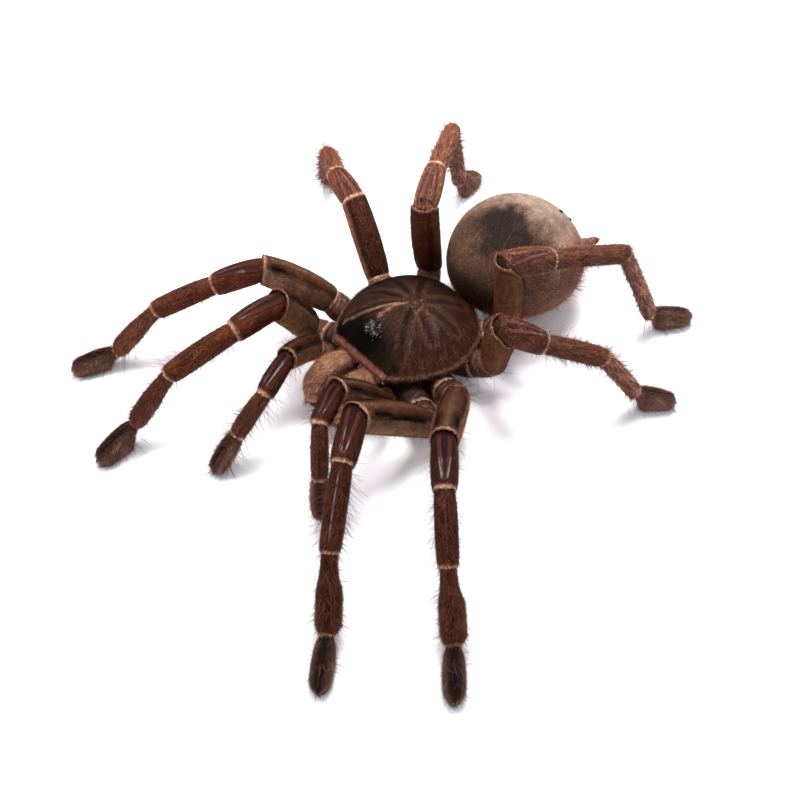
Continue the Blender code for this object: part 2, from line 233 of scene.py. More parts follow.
def hairTints(shell, where, count, look):
    # the skin's colour or the look's own, with a random shade for each hair, a few pale ones, and clumps
    tint = read(shell["tint"], where) if look["tint"] is None else np.tile(linear(look["tint"]), (count, 1))
    tint = tint * np.exp(dice.normal(0, look["fleck"], count))[:, None]
    pale = dice.random(count) < look["paleShare"]
    lit = pale * np.minimum(tint.sum(axis=1) / pile["fullLight"], 1)
    tint = tint + lit[:, None] * look["paleness"] * linear(pile["paleTint"])
    if look["clump"]:
        grain = read(shell["grain"], where) * (pile["clumpSquash"], 1, 1)
        tint = tint * np.exp(look["clump"] * clouds(grain, look["clumpPitch"]))[:, None]
    return tint


def aboveFloor(corners):
    flat = corners.reshape(-1, 3)
    flat[:, 2] = np.maximum(flat[:, 2], 0.02)
    return flat


def plantHairs(coat, shell, weight, count, look, **changes):
    # each hair is a curved ribbon that leaves the skin at its lean, bows over by its droop and tapers to a
    # point; with one section it is a single triangle
    look = {**usualLook, **look, **changes}
    points, sections = shell["points"], look["sections"]
    normals, along = surfaceNormals(points)
    where = places(points, weight, count)
    root, normal, flow = read(points, where), unit(read(normals, where)), read(shell.get("nap", along), where)
    flow = unit(flow - (flow * normal).sum(-1, keepdims=True) * normal + 1e-9)
    side = np.cross(normal, flow)
    swing = dice.normal(0, math.radians(look["stray"]), count)[:, None]
    flow = flow * np.cos(swing) + side * np.sin(swing)
    lean = np.radians(np.clip(dice.normal(look["lean"], look["leanSpread"], count), 2, 88))[:, None]
    length = look["length"] * (1 + look["lengthSpread"] * dice.uniform(-1, 1, count))[:, None]
    tint = hairTints(shell, where, count, look)
    rows, shades = [], []
    heading = flow * np.cos(lean) + normal * np.sin(lean)
    centre = root - normal * look["depth"]
    blade = unit(np.cross(heading, normal)) * look["width"] / 2
    for step in range(sections):
        half = blade * (1 - look["taper"] * step / sections)
        rows += [centre - half, centre + half]
        # darker to the root and lighter to the tip: painted shade among the hairs and a painted sheen on their
        # tips
        shades += [tint * (look["rootShade"] + (1 - look["rootShade"]) * step / sections)] * 2
        bent = lean - math.radians(look["droop"]) * (step + 0.5) / sections
        heading = flow * np.cos(bent) + normal * np.sin(bent)
        centre = centre + heading * length / sections
    rows.append(centre)
    shades.append(tint * look["tipShade"])
    each = len(rows)
    pattern = [face for a in range(0, each - 3, 2) for face in ((a, a + 1, a + 3), (a, a + 3, a + 2))]
    pattern.append((each - 3, each - 2, each - 1))
    faces = (np.arange(count)[:, None, None] * each + np.array(pattern)).reshape(-1, 3)
    corners, normals = aboveFloor(np.stack(rows, 1)), np.repeat(normal, each, axis=0)
    coat.add(corners, faces, np.stack(shades, 1).reshape(-1, 3), normals=normals)


def plantSpines(coat, shell, weight, count, look):
    # stout bristles: cones of three sides that stand off the skin
    points = shell["points"]
    normals, along = surfaceNormals(points)
    where = places(points, weight, count)
    root, normal, flow = read(points, where), unit(read(normals, where)), unit(read(along, where))
    lean = np.radians(dice.normal(look["lean"], 8, count))[:, None]
    length = look["length"] * dice.uniform(0.7, 1.2, count)[:, None]
    tip = root + length * (flow * np.cos(lean) + normal * np.sin(lean))
    side, half = unit(np.cross(normal, flow)), look["width"] / 2
    foot = [root + half * (math.cos(turn) * side + math.sin(turn) * flow) for turn in (0.5, 2.6, 4.7)]
    corners = aboveFloor(np.stack([*foot, tip], 1))
    cone = np.array([(0, 1, 3), (1, 2, 3), (2, 0, 3)])
    faces = (np.arange(count)[:, None, None] * 4 + cone).reshape(-1, 3)
    tint = np.tile(linear(look["tint"]), (len(corners), 1))
    coat.add(corners, faces, tint, normals=np.repeat(normal, 4, axis=0))


# Materials

def addNode(tree, kind, values=None, links=None, **settings):
    node = tree.nodes.new(kind)
    for key, value in settings.items():
        setattr(node, key, value)
    for key, value in (values or {}).items():
        node.inputs[key].default_value = value
    for key, socket in (links or {}).items():
        tree.links.new(socket, node.inputs[key])
    return node


def newMaterial(name, values):
    made = bpy.data.materials.new(name)
    made.use_nodes = True
    shader = made.node_tree.nodes["Principled BSDF"]
    for key, value in values.items():
        shader.inputs[key].default_value = value
    return made, made.node_tree, shader


pile = {
    "roughness": 0.62,
    "baldRoughness": 0.24,
    "specular": 0.05,
    "sheen": 0.12,
    "sheenRoughness": 0.18,
    "sheenTint": "#c08a60",
    "coatRoughness": 0.08,
    "mottles": (  # millimetres across, stretch along the hairs, darkest and lightest
        (0.16, 3.5, 0.55, 1.45),  # the flecks of the velvet, its hairs are about a third of that
        (1.8, 1, 0.8, 1.2),
    ),
    "bump": 0.12,
    "paleTint": "#b8967e",  # the few light hairs among the others
    "fullLight": 0.07,  # skin this light or lighter has its pale hairs in full
    "clumpSquash": 0.22,  # clumps are drawn out along the hairs
}


def makePileMaterial():
    # short hair on chitin: the skin scatters softly, its hairs catch the light as a sheen at grazing angles,
    # and the bald stripes show the smooth waxy chitin itself
    made, tree, shader = newMaterial("velvet_pile_on_chitin", {
        **furValues, "IOR": 1.54, "Sheen Weight": pile["sheen"], "Coat Roughness": pile["coatRoughness"],
        "Coat IOR": 1.54,
    })
    tint, gloss, grain = (addNode(tree, "ShaderNodeAttribute", attribute_name=key)
                          for key in ("tint", "gloss", "grain"))
    noises, shades = [], []
    for pitch, stretch, darkest, lightest in pile["mottles"]:
        scale = [1 / (pitch * stretch), 1 / pitch, 1 / pitch]
        mapping = addNode(tree, "ShaderNodeMapping", {"Scale": scale}, {"Vector": grain.outputs["Vector"]})
        lumps = {"Scale": 1.0, "Detail": 2.0}
        noise = addNode(tree, "ShaderNodeTexNoise", lumps, {"Vector": mapping.outputs[0]})
        values = {"From Min": 0.3, "From Max": 0.7, "To Min": darkest, "To Max": lightest}
        noises.append(noise)
        shades.append(addNode(tree, "ShaderNodeMapRange", values, {"Value": noise.outputs["Fac"]}).outputs[0])
    both = addNode(tree, "ShaderNodeMath", None, {0: shades[0], 1: shades[1]}, operation="MULTIPLY")
    # the mottles fade out on the bald chitin
    calm = addNode(tree, "ShaderNodeMix", {"B": 1.0}, {"Factor": gloss.outputs["Fac"], "A": both.outputs[0]})
    factors = {0: tint.outputs["Color"], 1: calm.outputs["Result"]}
    colour = addNode(tree, "ShaderNodeVectorMath", None, factors, operation="MULTIPLY")
    rough = addNode(tree, "ShaderNodeMix", {"A": pile["roughness"], "B": pile["baldRoughness"]},
                    {"Factor": gloss.outputs["Fac"]})
    furred = addNode(tree, "ShaderNodeMath", {0: 1.0}, {1: gloss.outputs["Fac"]}, operation="SUBTRACT")
    bump = addNode(tree, "ShaderNodeBump", {"Distance": pile["bump"] * mm},
                   {"Height": noises[0].outputs["Fac"], "Strength": furred.outputs[0]})
    for socket, output in (("Base Color", colour.outputs[0]), ("Roughness", rough.outputs["Result"]),
                           ("Coat Weight", gloss.outputs["Fac"]), ("Normal", bump.outputs[0])):
        tree.links.new(output, shader.inputs[socket])
    return made


def makeHairMaterial(name, roughness, sheen):
    # hairs are dull keratin-like chitin, each with its own shade
    values = {**furValues, "IOR": 1.55, "Roughness": roughness, "Sheen Weight": sheen}
    made, tree, shader = newMaterial(name, values)
    tint = addNode(tree, "ShaderNodeAttribute", attribute_name="tint")
    tree.links.new(tint.outputs["Color"], shader.inputs["Base Color"])
    return made


# what skin and hairs share
furValues = {"Specular IOR Level": pile["specular"], "Sheen Roughness": pile["sheenRoughness"],
             "Sheen Tint": (*linear(pile["sheenTint"]), 1)}


pileMaterial = makePileMaterial()
hairMaterial = makeHairMaterial("short_pile_hair", 0.6, pile["sheen"])
setaMaterial = makeHairMaterial("long_stiff_hair", 0.45, 0.0)

# Limbs

legLengths = {  # femur, patella, tibia, metatarsus and tarsus; pedipalps have no metatarsus
    "leg_1": (27.6, 15.7, 21.1, 19.9, 13.6),
    "leg_2": (25.3, 14.7, 18.2, 18.8, 13.3),
    "leg_3": (23.4, 13.3, 16.3, 19.8, 12.5),
    "leg_4": (26.8, 14.8, 22.0, 27.3, 13.5),
    "pedipalp": (20.6, 12.0, 14.3, 13.8),
}
# Half-widths at base, belly and end, and height over width, as in the solids of the legs
frontForms = (
    (3.4, 4.0, 3.45, 1.16), (3.1, 3.4, 3.1, 1.05), (2.6, 2.85, 2.65, 1.03), (2.2, 2.8, 3.1, 0.95),
    (2.1, 2.75, 2.2, 0.85),
)
rearForms = (
    (3.5, 3.9, 3.6, 1.06), (3.35, 3.45, 2.95, 1.03), (2.5, 2.65, 2.5, 1.0), (2.0, 2.1, 2.15, 1.0),
    (1.8, 2.3, 1.8, 0.9),
)
palpForms = ((2.6, 3.1, 2.7, 1.12), (2.1, 2.55, 2.45, 1.05), (1.95, 2.2, 2.1, 1.03), (1.9, 2.6, 2.0, 0.85))
legForms = {"leg_1": frontForms, "leg_2": frontForms, "leg_3": rearForms, "leg_4": rearForms,
            "pedipalp": palpForms}
frontLegs, rearLegs = ("leg_1", "leg_2"), ("leg_3", "leg_4")
hips = {  # where the coxa starts, where the femur starts, and the coxa's half-width
    "leg_1": ((8.9, -9.6, -9.6), (24.6, -15.7, -9.6), 3.4),
    "leg_2": ((10.4, -2.4, -9.4), (26.6, -6.4, -5.2), 3.4),
    "leg_3": ((9.8, 4.9, -9.4), (24.0, 9.9, -4.7), 3.3),
    "leg_4": ((7.4, 12.2, -9.2), (15.9, 23.1, -3.6), 3.2),
    "pedipalp": ((6.4, -15.2, -10.8), (14.8, -21.6, -5.4), 2.3),
}
hipShifts = {"left_leg_4": (1.8, -1.2, 1.8)}
bodyTilt = (17.1, -3.6, 0.0)  # height, pitch, roll
hipTilt = (16.5, -2.0, 3.5)
poses = {  # heading and pitch of every segment in degrees
    "right_leg_1": ((-72, 60), (-83, 10), (-113, -28), (-110, -50), (-89, -20)),
    "right_leg_2": ((-118, 44), (-127, -18), (-117, -17), (-114, -42), (-112, -10)),
    "right_leg_3": ((164, 49), (163, -2), (151, -18), (146, -61), (145, -9)),
    "right_leg_4": ((112, 97), (125, 4), (124, -10), (120, -71), (102, -32)),
    "left_leg_1": ((-100, 40), (-52, 5), (-52, -32), (-45, -37), (-49, -9)),
    "left_leg_2": ((-52, 27), (-43, -1), (-40, -25), (-38, -38), (-42, -9)),
    "left_leg_3": ((-31, 70), (57, -34), (41, -13), (57, -57), (50, -21)),
    "left_leg_4": ((-62, 82), (78, -21), (64, -11), (53, -67), (57, -15)),
    "right_pedipalp": ((-64, 39), (-68, -7), (-101, -49), (-101, -52)),
    "left_pedipalp": ((-101, 48), (-60, 5), (-46, -57), (-45, -74)),
}
limb = {
    "columns": 64,
    "crowding": 0.5,  # columns stand closer on the back, where the stripes are
    "rowsPerMm": 1.7,
    "squareness": 2.35,  # 2 is round, more is boxier
    "cornerLimit": 0.72,  # how far a rim may reach past its joint outside a bend, over the half-width
    "rimFlare": {
        "coxa": -0.1, "trochanter": -0.1, "femur": 0.06, "patella": -0.32, "tibia": -0.26, "metatarsus": -0.2,
    },
    "lip": ((-0.08, 0.1), (-0.22, 0.12), (-0.42, -0.05), (-0.5, -1.1)),  # radius and length past the rim
    "baseDepth": 0.9,  # how far a segment starts inside the sleeve of the one before
    "bow": {"femur": 0.9, "patella": 0.4, "tibia": 0.3, "metatarsus": 0.2, "tarsus": 0.0},
    "soleDepth": 0.6,
    "padSwell": {"left": 0.85, "right": 0.5},  # how much the brush pads of the front legs swell
    "padStep": 0.2,  # and how far they stand out on the rear side
    "knuckle": 1.02,  # the ball in a joint, over the half-width of the segment after it
    "knuckleShift": 0.2,  # how far it moves to the outside of the bend
    "knuckleBend": 30,
    "knuckleHairs": 500,
}
hipParts = ("coxa", "trochanter")
segmentNames = (*hipParts, "femur", "patella", "tibia", "metatarsus", "tarsus")
palpSegmentNames = (*hipParts, "femur", "patella", "tibia", "tarsus")


def namesOf(kind):
    return palpSegmentNames if kind == "pedipalp" else segmentNames


def tilted(local, tilt):
    height, pitch, roll = tilt[0], math.radians(tilt[1]), math.radians(tilt[2])
    level, rise = math.cos(pitch), math.sin(pitch)
    aboutX = np.array([[1, 0, 0], [0, level, -rise], [0, rise, level]])
    level, rise = math.cos(roll), math.sin(roll)
    aboutY = np.array([[level, 0, -rise], [0, 1, 0], [rise, 0, level]])
    return np.asarray(local, float) @ (aboutY @ aboutX).T + np.array([0, 0, height])


def jointPlaces(name, side, kind):
    coxaStart, femurStart, _ = hips[kind]
    coxa = tilted(np.multiply(coxaStart, (side, 1, 1)), hipTilt)
    femur = tilted(np.multiply(femurStart, (side, 1, 1)), hipTilt) + hipShifts.get(name, (0, 0, 0))
    trochanter = femur - unit((femur - coxa) * (1, 1, 0)) * 5.5
    trochanter[2] = coxa[2] + 0.35 * (femur[2] - coxa[2])
    found = [coxa, trochanter, femur]
    for (heading, pitch), length in zip(poses[name], legLengths[kind]):
        found.append(found[-1] + length * direction(heading, pitch))
    return found


def swelling(form, t):  # half-width along a segment through its base, belly and end
    base, belly, end = form[:3]
    return base * (1 - t) * (1 - 2 * t) + belly * 4 * t * (1 - t) + end * t * (2 * t - 1)


def backOf(heading, pitch):  # the upper side of a segment, at right angles to it in its own upright plane
    heading, pitch = math.radians(heading), math.radians(pitch)
    rise = math.sin(pitch)
    return np.array([-math.cos(heading) * rise, -math.sin(heading) * rise, math.cos(pitch)])


def padSwell(name):  # of the side that the leg is on
    return limb["padSwell"][name.split("_")[0]]


def halfWidth(part, kind, name, form, t, length):
    wide = swelling(form, t)
    shoulder = 1 - (0.3 if part == "tarsus" else 0.1) * np.exp(-t * length / 0.9)
    if part == "metatarsus" and kind in frontLegs:
        # a slim shaft that swells into the brush pad of its outer half
        wide = 2.1 + padSwell(name) * ease(0.1, 0.55, t) - 0.75 * ease(0.86, 1.0, t)
    if part == "tarsus":
        past = np.clip((t - 0.78) / 0.22, 0, 1)
        wide = wide * np.sqrt(np.maximum(1 - past**2.8, 0.02))
    return wide * shoulder


def segmentShell(part, kind, name, start, end, back, form, planeBefore, planeAfter, isLast):
    # a sleeve: ellipse-like sections carried from one joint's mitre plane to the next, then a lip that
    # rolls inwards
    along = unit(end - start)
    length = np.linalg.norm(end - start)
    back = unit(back - along * (along @ back))
    side = np.cross(back, along)
    rows = max(6, int(length * limb["rowsPerMm"]))
    turn = np.linspace(0, 2 * math.pi, limb["columns"], endpoint=False)
    turn = turn + limb["crowding"] * np.cos(turn)
    power = 2 / limb["squareness"]
    cosine, sine = (np.sign(wave) * np.abs(wave) ** power for wave in (np.cos(turn), np.sin(turn)))
    t = 1 - (1 - np.linspace(0, 1, rows)) ** 1.15
    wide = halfWidth(part, kind, name, form, t, length)[:, None]
    high = wide * form[3]
    if part == "metatarsus" and kind in frontLegs:
        stand = limb["padStep"] * padSwell(name) * np.maximum(cosine, 0)
        wide = wide * (1 + stand * (ease(0.3, 0.42, t) * (1 - ease(0.86, 1, t)))[:, None])
    lift = limb["bow"].get(part, 0.0) * 4 * t * (1 - t)
    angle = (np.degrees(turn) + 90) % 360 - 180  # 0 on the back, positive towards the far side
    marks = segmentMarks(part, kind, name, t[:, None], angle[None, :], length * (1 - t[:, None]))
    dip = 1 - marks["groove"] / high
    x, y = wide * cosine * dip, high * sine * dip + lift[:, None]

    def slide(plane, row, limit):
        offset = x[row][:, None] * side + y[row][:, None] * back
        found = -(offset @ plane) / (along @ plane)
        return np.maximum(found, -limit) if row == 0 else np.minimum(found, limit)

    first = slide(planeBefore, 0, limb["cornerLimit"] * form[0])
    last = slide(planeAfter, -1, limb["cornerLimit"] * form[2])
    run = first + t[:, None] * (length + last - first)
    if not isLast:
        near = np.exp(-(length + last - run) / 0.8) * limb["rimFlare"][part]
        grow = 1 + near / np.maximum(high, 1)
        x, y = x * grow, y * grow
        for inward, onward in limb["lip"]:
            shrink = 1 + inward / high[-1]
            x = np.vstack([x, x[rows - 1] * shrink])
            y = np.vstack([y, y[rows - 1] * shrink])
            run = np.vstack([run, run[rows - 1] + onward])
    x = np.vstack([x[0] * 0.82, x])
    y = np.vstack([y[0] * 0.82, y])
    run = np.vstack([run[0] - limb["baseDepth"], run])
    points = start + run[..., None] * along + x[..., None] * side + y[..., None] * back
    if isLast and kind != "pedipalp":
        # the pad spreads onto the ground
        share = ease(0.1, 0.35, np.concatenate([[0], t]))[:, None]
        middle = points[..., 2].mean(axis=1, keepdims=True)
        below = middle - points[..., 2]
        deepest = np.maximum(below.max(axis=1, keepdims=True), 0.1)
        spread = middle - np.where(below > 0, below * (middle + limb["soleDepth"]) / deepest, below)
        points[..., 2] = points[..., 2] * (1 - share) + spread * share
    points[..., 2] = np.maximum(points[..., 2], 0)
    full = np.concatenate([[0], t, np.ones(len(points) - rows - 1)])[:, None]
    spans = {"t": full, "fromEnd": length * (1 - full), "angle": angle[None, :],
             "inside": (np.arange(len(points)) > rows)[:, None].astype(float)}
    shell = {key: np.broadcast_to(values, points.shape[:2]) for key, values in spans.items()}
    run = np.broadcast_to(run, points.shape[:2])
    return dict(shell, points=points, grain=np.stack([run, x, y], -1) + dice.uniform(0, 90, 3))


def segmentMarks(part, kind, name, t, angle, fromEnd):
    # over one segment: bald chitin, dark lines and pale crests from 0 to 1, and grooves in millimetres
    marks = {key: 0 * t * angle for key in ("bald", "shine", "glint", "dark", "pale", "groove")}
    off, rear = np.abs(angle), kind in rearLegs
    if part in hipParts:
        # slanting folds, bare on their crests, with painted shade in the creases between
        upper = (1 - ease(70, 120, off)) * (0.35 if part == "coxa" else 1.0)
        slant = fromEnd + 0.5 * np.sin(np.radians(angle) * 1.7) + 0.25 * np.sin(np.radians(angle) * 5)
        between = 0.8 * bell(slant, 2.8, 0.4) + 0.5 * bell(slant, 0.8, 0.25) + 0.5 * bell(slant, 5.1, 0.5)
        marks["bald"] = upper * (0.75 * bell(slant, 1.7, 0.45) + 0.4 * bell(slant, 4.1, 0.4))
        marks["dark"] = upper * between
        marks["groove"] = 0.3 * marks["dark"]
    if part == "femur":
        # a dark line down each side, and on the front legs painted shade on the sides before the rim at the
        # knee
        run = ease(0.03, 0.12, t) * (1 - ease(0.86, 0.96, t))
        slit = bell(off, 57, 5 + 8 * (1 - t)) * (1 - ease(0.68, 0.78, t)) * ease(0.2, 0.3, t)
        marks["dark"] = run * (0.5 * bell(off, 42, 5) + trait(name, "slit") * slit)
        marks["groove"] = (0.12 if rear else 0.4) * marks["dark"]
        if not rear:
            # painted shade before the knee
            kneeShade = 0.9 * bell(off, 38, 24) * ease(0.66, 0.8, t) * (1 - ease(0.9, 0.95, t))
            marks["dark"] = marks["dark"] + kneeShade
            marks["pale"] = 0.5 * bell(off, 0, 10)
    if part == "patella":
        # two bare stripes that narrow and draw together towards the end, with a dark band between
        turned = angle - trait(name, "patellaRoll") * (1 - t)
        off, second = np.abs(turned), turned < 0
        middle, half = 24 - 19 * t**1.2, (12.5 - 8.5 * t) * (0.75 if rear else 1.0)
        ends = ease(0.0, 0.05, t) * (1 - ease(0.8, 0.9, t))
        stripe = (1 - ease(half - 2, half + 2, np.abs(off - middle))) * ends
        # a painted highlight along the inner edge of the stripe
        glint = bell(off, middle - 0.6 * half, 2.0) * ends * ease(0.25, 0.6, t)
        marks["bald"] = stripe * np.where(second, trait(name, "secondStripe"), 1.0)
        marks["glint"] = glint * np.where(second, 0.2, 1.0) * trait(name, "patellaGlint")
        between = (1 - ease(middle - half, middle - half + 3, off)) * ends
        marks["dark"] = (0.5 if rear else 0.65) * between + 0.65 * bell(off, middle + half + 5, 5) * ends
        marks["groove"] = 0.16 * marks["bald"]
    if part == "tibia":
        run = ease(0.08, 0.2, t) * (1 - ease(0.78, 0.9, t))
        shows = 0.0 if rear else trait(name, "tibiaShine")
        marks["shine"] = 0.6 * shows * run * bell(angle, 0, 5)
        # a painted highlight along the back line
        marks["glint"] = 0.6 * shows * run * bell(angle, 3, 2.0)
        marks["dark"] = (0.35 if rear else 0.6) * run * (bell(off, 0, 13) + 0.6 * bell(off, 48, 6))
        marks["groove"] = 0.12 * run * bell(off, 11, 6)
    if part == "metatarsus":
        marks["dark"] = 0.5 * bell(angle, 0, 20) * (1 - ease(0.85, 1, t))
    if part == "tarsus":
        marks["dark"] = 0.95 * bell(angle, 0, 17) * ease(0.02, 0.12, t) * (1 - ease(0.72, 0.92, t))
        marks["groove"] = 0.25 * bell(angle, 0, 14)
    return marks


def paintSegment(shell, part, kind, name):
    # colours of one segment: pile, flanks, dark lines, bald stripes, the pale hair of the rim, and painted
    # light
    t, fromEnd, outer = shell["t"], shell["fromEnd"], 1 - shell["inside"]
    off, hip, rear = np.abs(shell["angle"]), part in hipParts, kind in rearLegs
    tone = {key: linear(value) for key, value in legTones.items()}
    pileTone = dict(zip(namesOf(kind), segmentTones[kind]))[part]
    # painted light and shade: the pile lightened or darkened leg by leg, as each leg is lit
    shade = 1.0 if hip else trait(name, "femurShade" if part == "femur" else "shade")
    tint = np.broadcast_to(linear(pileTone) * shade, (*t.shape, 3)).copy()
    marks = segmentMarks(part, kind, name, t, shell["angle"], fromEnd)
    if part == "femur":
        tint = mixed(tint, tone["rearFlank" if rear else "flank"], 0.9 * ease(45, 75, off))
        tint = mixed(tint, tone["belly"], (0.25 if rear else 0.75) * ease(78, 115, off))
        # painted light on the femur's sides, leg by leg
        lighter = trait(name, "flankShade") - 1
        tint = tint * (1 + lighter * ease(30, 60, off) * (1 - ease(80, 110, off)))[..., None]
    if part in ("metatarsus", "tarsus"):
        low, high = (12, 55) if part == "tarsus" else (55, 110)
        tint = mixed(tint, tone["brush"], 0.75 * ease(low, high, off))
    tint = tint * np.exp(0.16 * clouds(shell["points"], 3.0))[..., None]
    bare = "creased" if hip else "rearBald" if rear else "bald"
    tint = layered(tint, tone, [("crest", marks["pale"]), ("dark", marks["dark"]), (bare, marks["bald"])])
    # the painted highlights on the stripes
    tint = mixed(tint, tone["glint"], 0.5 * marks["glint"] * (0.6 + 0.6 * clouds(shell["points"], 1.0)))
    if part != "tarsus":
        wide = 0.75 + 0.25 * clouds(shell["points"], 1.2)
        tint = layered(tint, tone, [
            ("rim", 0.8 * (1 - ease(0.35 * wide, wide, fromEnd)) * outer),
            ("dark", 0.35 * bell(fromEnd, 1.5, 0.45) * outer),
            ("skin", shell["inside"]),
        ])
    gloss = (0.15 if hip else 0.2) * marks["bald"] + marks["shine"] + 0.7 * marks["glint"]
    bald = np.clip(marks["bald"] + marks["shine"] + marks["glint"], 0, 1)
    return dict(shell, tint=tint, gloss=np.clip(gloss, 0, 1) * outer, bare=bald)


legTones = {
    "flank": "#8e6a56",  # light brown sides of the front femora
    "belly": "#b0855f",
    "rearFlank": "#885538",
    "crest": "#87634c",
    "dark": "#0e0605",
    "bald": "#451618",  # bare pink-maroon chitin
    "rearBald": "#75423d",
    "glint": "#b39a98",  # painted highlight on the ridge of a bare stripe
    "creased": "#7d5548",
    "rim": "#bd937a",
    "skin": "#6f4237",  # soft skin of the joints
    # painted shade: the ball in a joint is as dark as the shadow in the gap
    "knuckle": "#24130d",
    "brush": "#573e33",
}
segmentTones = {  # the pile of the coxa, trochanter, femur, patella, tibia, metatarsus and tarsus
    "leg_1": ("#35211a", "#5a3f33", "#4c2c1d", "#46200e", "#42200e", "#402013", "#241510"),
    "leg_2": ("#35211a", "#5a3f33", "#5c3826", "#3c1a0d", "#3e1d10", "#482919", "#20130e"),
    "leg_3": ("#35211a", "#6d5040", "#432316", "#4a281c", "#4c2e22", "#86604f", "#432e28"),
    "leg_4": ("#35211a", "#6d5040", "#381c10", "#543224", "#4f3326", "#916858", "#4e3930"),
    "pedipalp": ("#35211a", "#5a3f33", "#4f3020", "#462416", "#4f2d1e", "#452f28"),
}
usualTraits = {
    # the three shades are painted light and shade: each leg's pile lightened or darkened as it is lit
    "shade": 1.0,  # of the pile from the patella on
    "femurShade": 1.0,
    "flankShade": 1.0,  # light on the femur's sides
    "slit": 0.6,  # darkness of the femur's side line
    "patellaRoll": 0,  # degrees that the stripes of the patella are turned by at its base
    "secondStripe": 1.0,  # how much of the second stripe shows
    # strength of the painted highlights; tibiaShine also sets the tibia's gloss
    "patellaGlint": 0.5,
    "tibiaShine": 0.3,
}
# the shades here are painted light and shade, the glints painted highlights
legTraits = {  # how each leg differs in the photo
    "left_leg_1": {
        "femurShade": 1.6, "flankShade": 0.88, "slit": 1.7, "patellaGlint": 0.9, "tibiaShine": 1.0,
    },
    "left_leg_2": {"femurShade": 1.15, "flankShade": 1.4, "slit": 0.9},
    "left_leg_3": {"femurShade": 1.7, "patellaRoll": 24, "secondStripe": 0.35},
    "left_leg_4": {"shade": 1.1, "femurShade": 0.75, "patellaRoll": 26, "secondStripe": 0.2},
    "right_leg_1": {"shade": 1.7, "flankShade": 1.15, "slit": 0.8, "patellaRoll": -6},
    "right_leg_2": {"shade": 2.2, "flankShade": 1.6, "slit": 0.3, "patellaRoll": -16},
    "right_leg_3": {"shade": 1.5, "femurShade": 0.95, "patellaRoll": -14},
    "right_leg_4": {"shade": 1.7, "femurShade": 3.2, "patellaRoll": 9},
}


def trait(name, key):
    return legTraits.get(name, {}).get(key, usualTraits[key])


usualLook = {  # what a look leaves out
    "depth": 0.05, "taper": 1.0, "clump": 0, "clumpPitch": 0.8, "paleShare": 0, "paleness": 0.1,
    "tint": None,  # the skin's own colour
}
pileLook = {  # millimetres and degrees; root and tip shades multiply the tint: painted shade at the roots, painted sheen on the tips
    "length": 0.62, "lengthSpread": 0.4, "width": 0.09, "lean": 33, "leanSpread": 10, "stray": 16, "droop": 0,
    "sections": 1, "fleck": 0.4, "rootShade": 0.36, "tipShade": 3.1, "paleShare": 0.09, "paleness": 0.09,
    "clump": 0.34,
}
brushLook = dict(pileLook, length=1.15, lean=28, stray=18, fleck=0.35, rootShade=0.4, tipShade=2.6)
fringeLook = dict(pileLook, length=0.5, lean=26, stray=26, rootShade=0.8, tipShade=1.2)
setaLook = {
    "length": 4.9, "lengthSpread": 0.45, "width": 0.105, "lean": 54, "leanSpread": 14, "stray": 30,
    "droop": 18, "sections": 4, "taper": 0.7, "fleck": 0.35, "rootShade": 0.8, "tipShade": 1.3,
    "tint": "#5a2e22",
}
shagLook = dict(setaLook, length=2.1, width=0.075, lean=20, leanSpread=9, stray=15, droop=8, sections=3,
                tint="#6b3826")
spineLook = {"length": 1.7, "width": 0.26, "lean": 50, "tint": "#120a08"}
hairCounts = {  # on a limb, along its rims, and on each segment
    "pilePerLimb": 42000,
    "fringePerMm": 13,
    "seta": {
        "coxa": 60, "trochanter": 40, "femur": 20, "patella": 30, "tibia": 380, "metatarsus": 330, "tarsus": 90,
    },
    "palpSeta": {"coxa": 40, "femur": 40, "patella": 70, "tibia": 300, "tarsus": 160},
    "shag": {"tibia": 200, "metatarsus": 320, "tarsus": 70},
    "rearShag": {"tibia": 900, "metatarsus": 1100, "tarsus": 250},
    "rearSpines": 70,
    "tibiaSpines": 6,
}
rusts = {True: "#764a3b", False: "#4f3126"}  # the long hairs of the rear legs and of the others


def segmentArea(shell):
    return cellAreas(shell["points"])[shell["inside"][:-1] < 0.5].sum()


def partedNap(shell, share):
    # hairs that lean away from the middle line of the back as well as along the limb
    along = surfaceNormals(shell["points"])[1]
    around = unit(np.roll(shell["points"], -1, axis=1) - np.roll(shell["points"], 1, axis=1) + 1e-9)
    return unit(along + 1e-9) + share * around * np.sign(shell["angle"])[..., None]


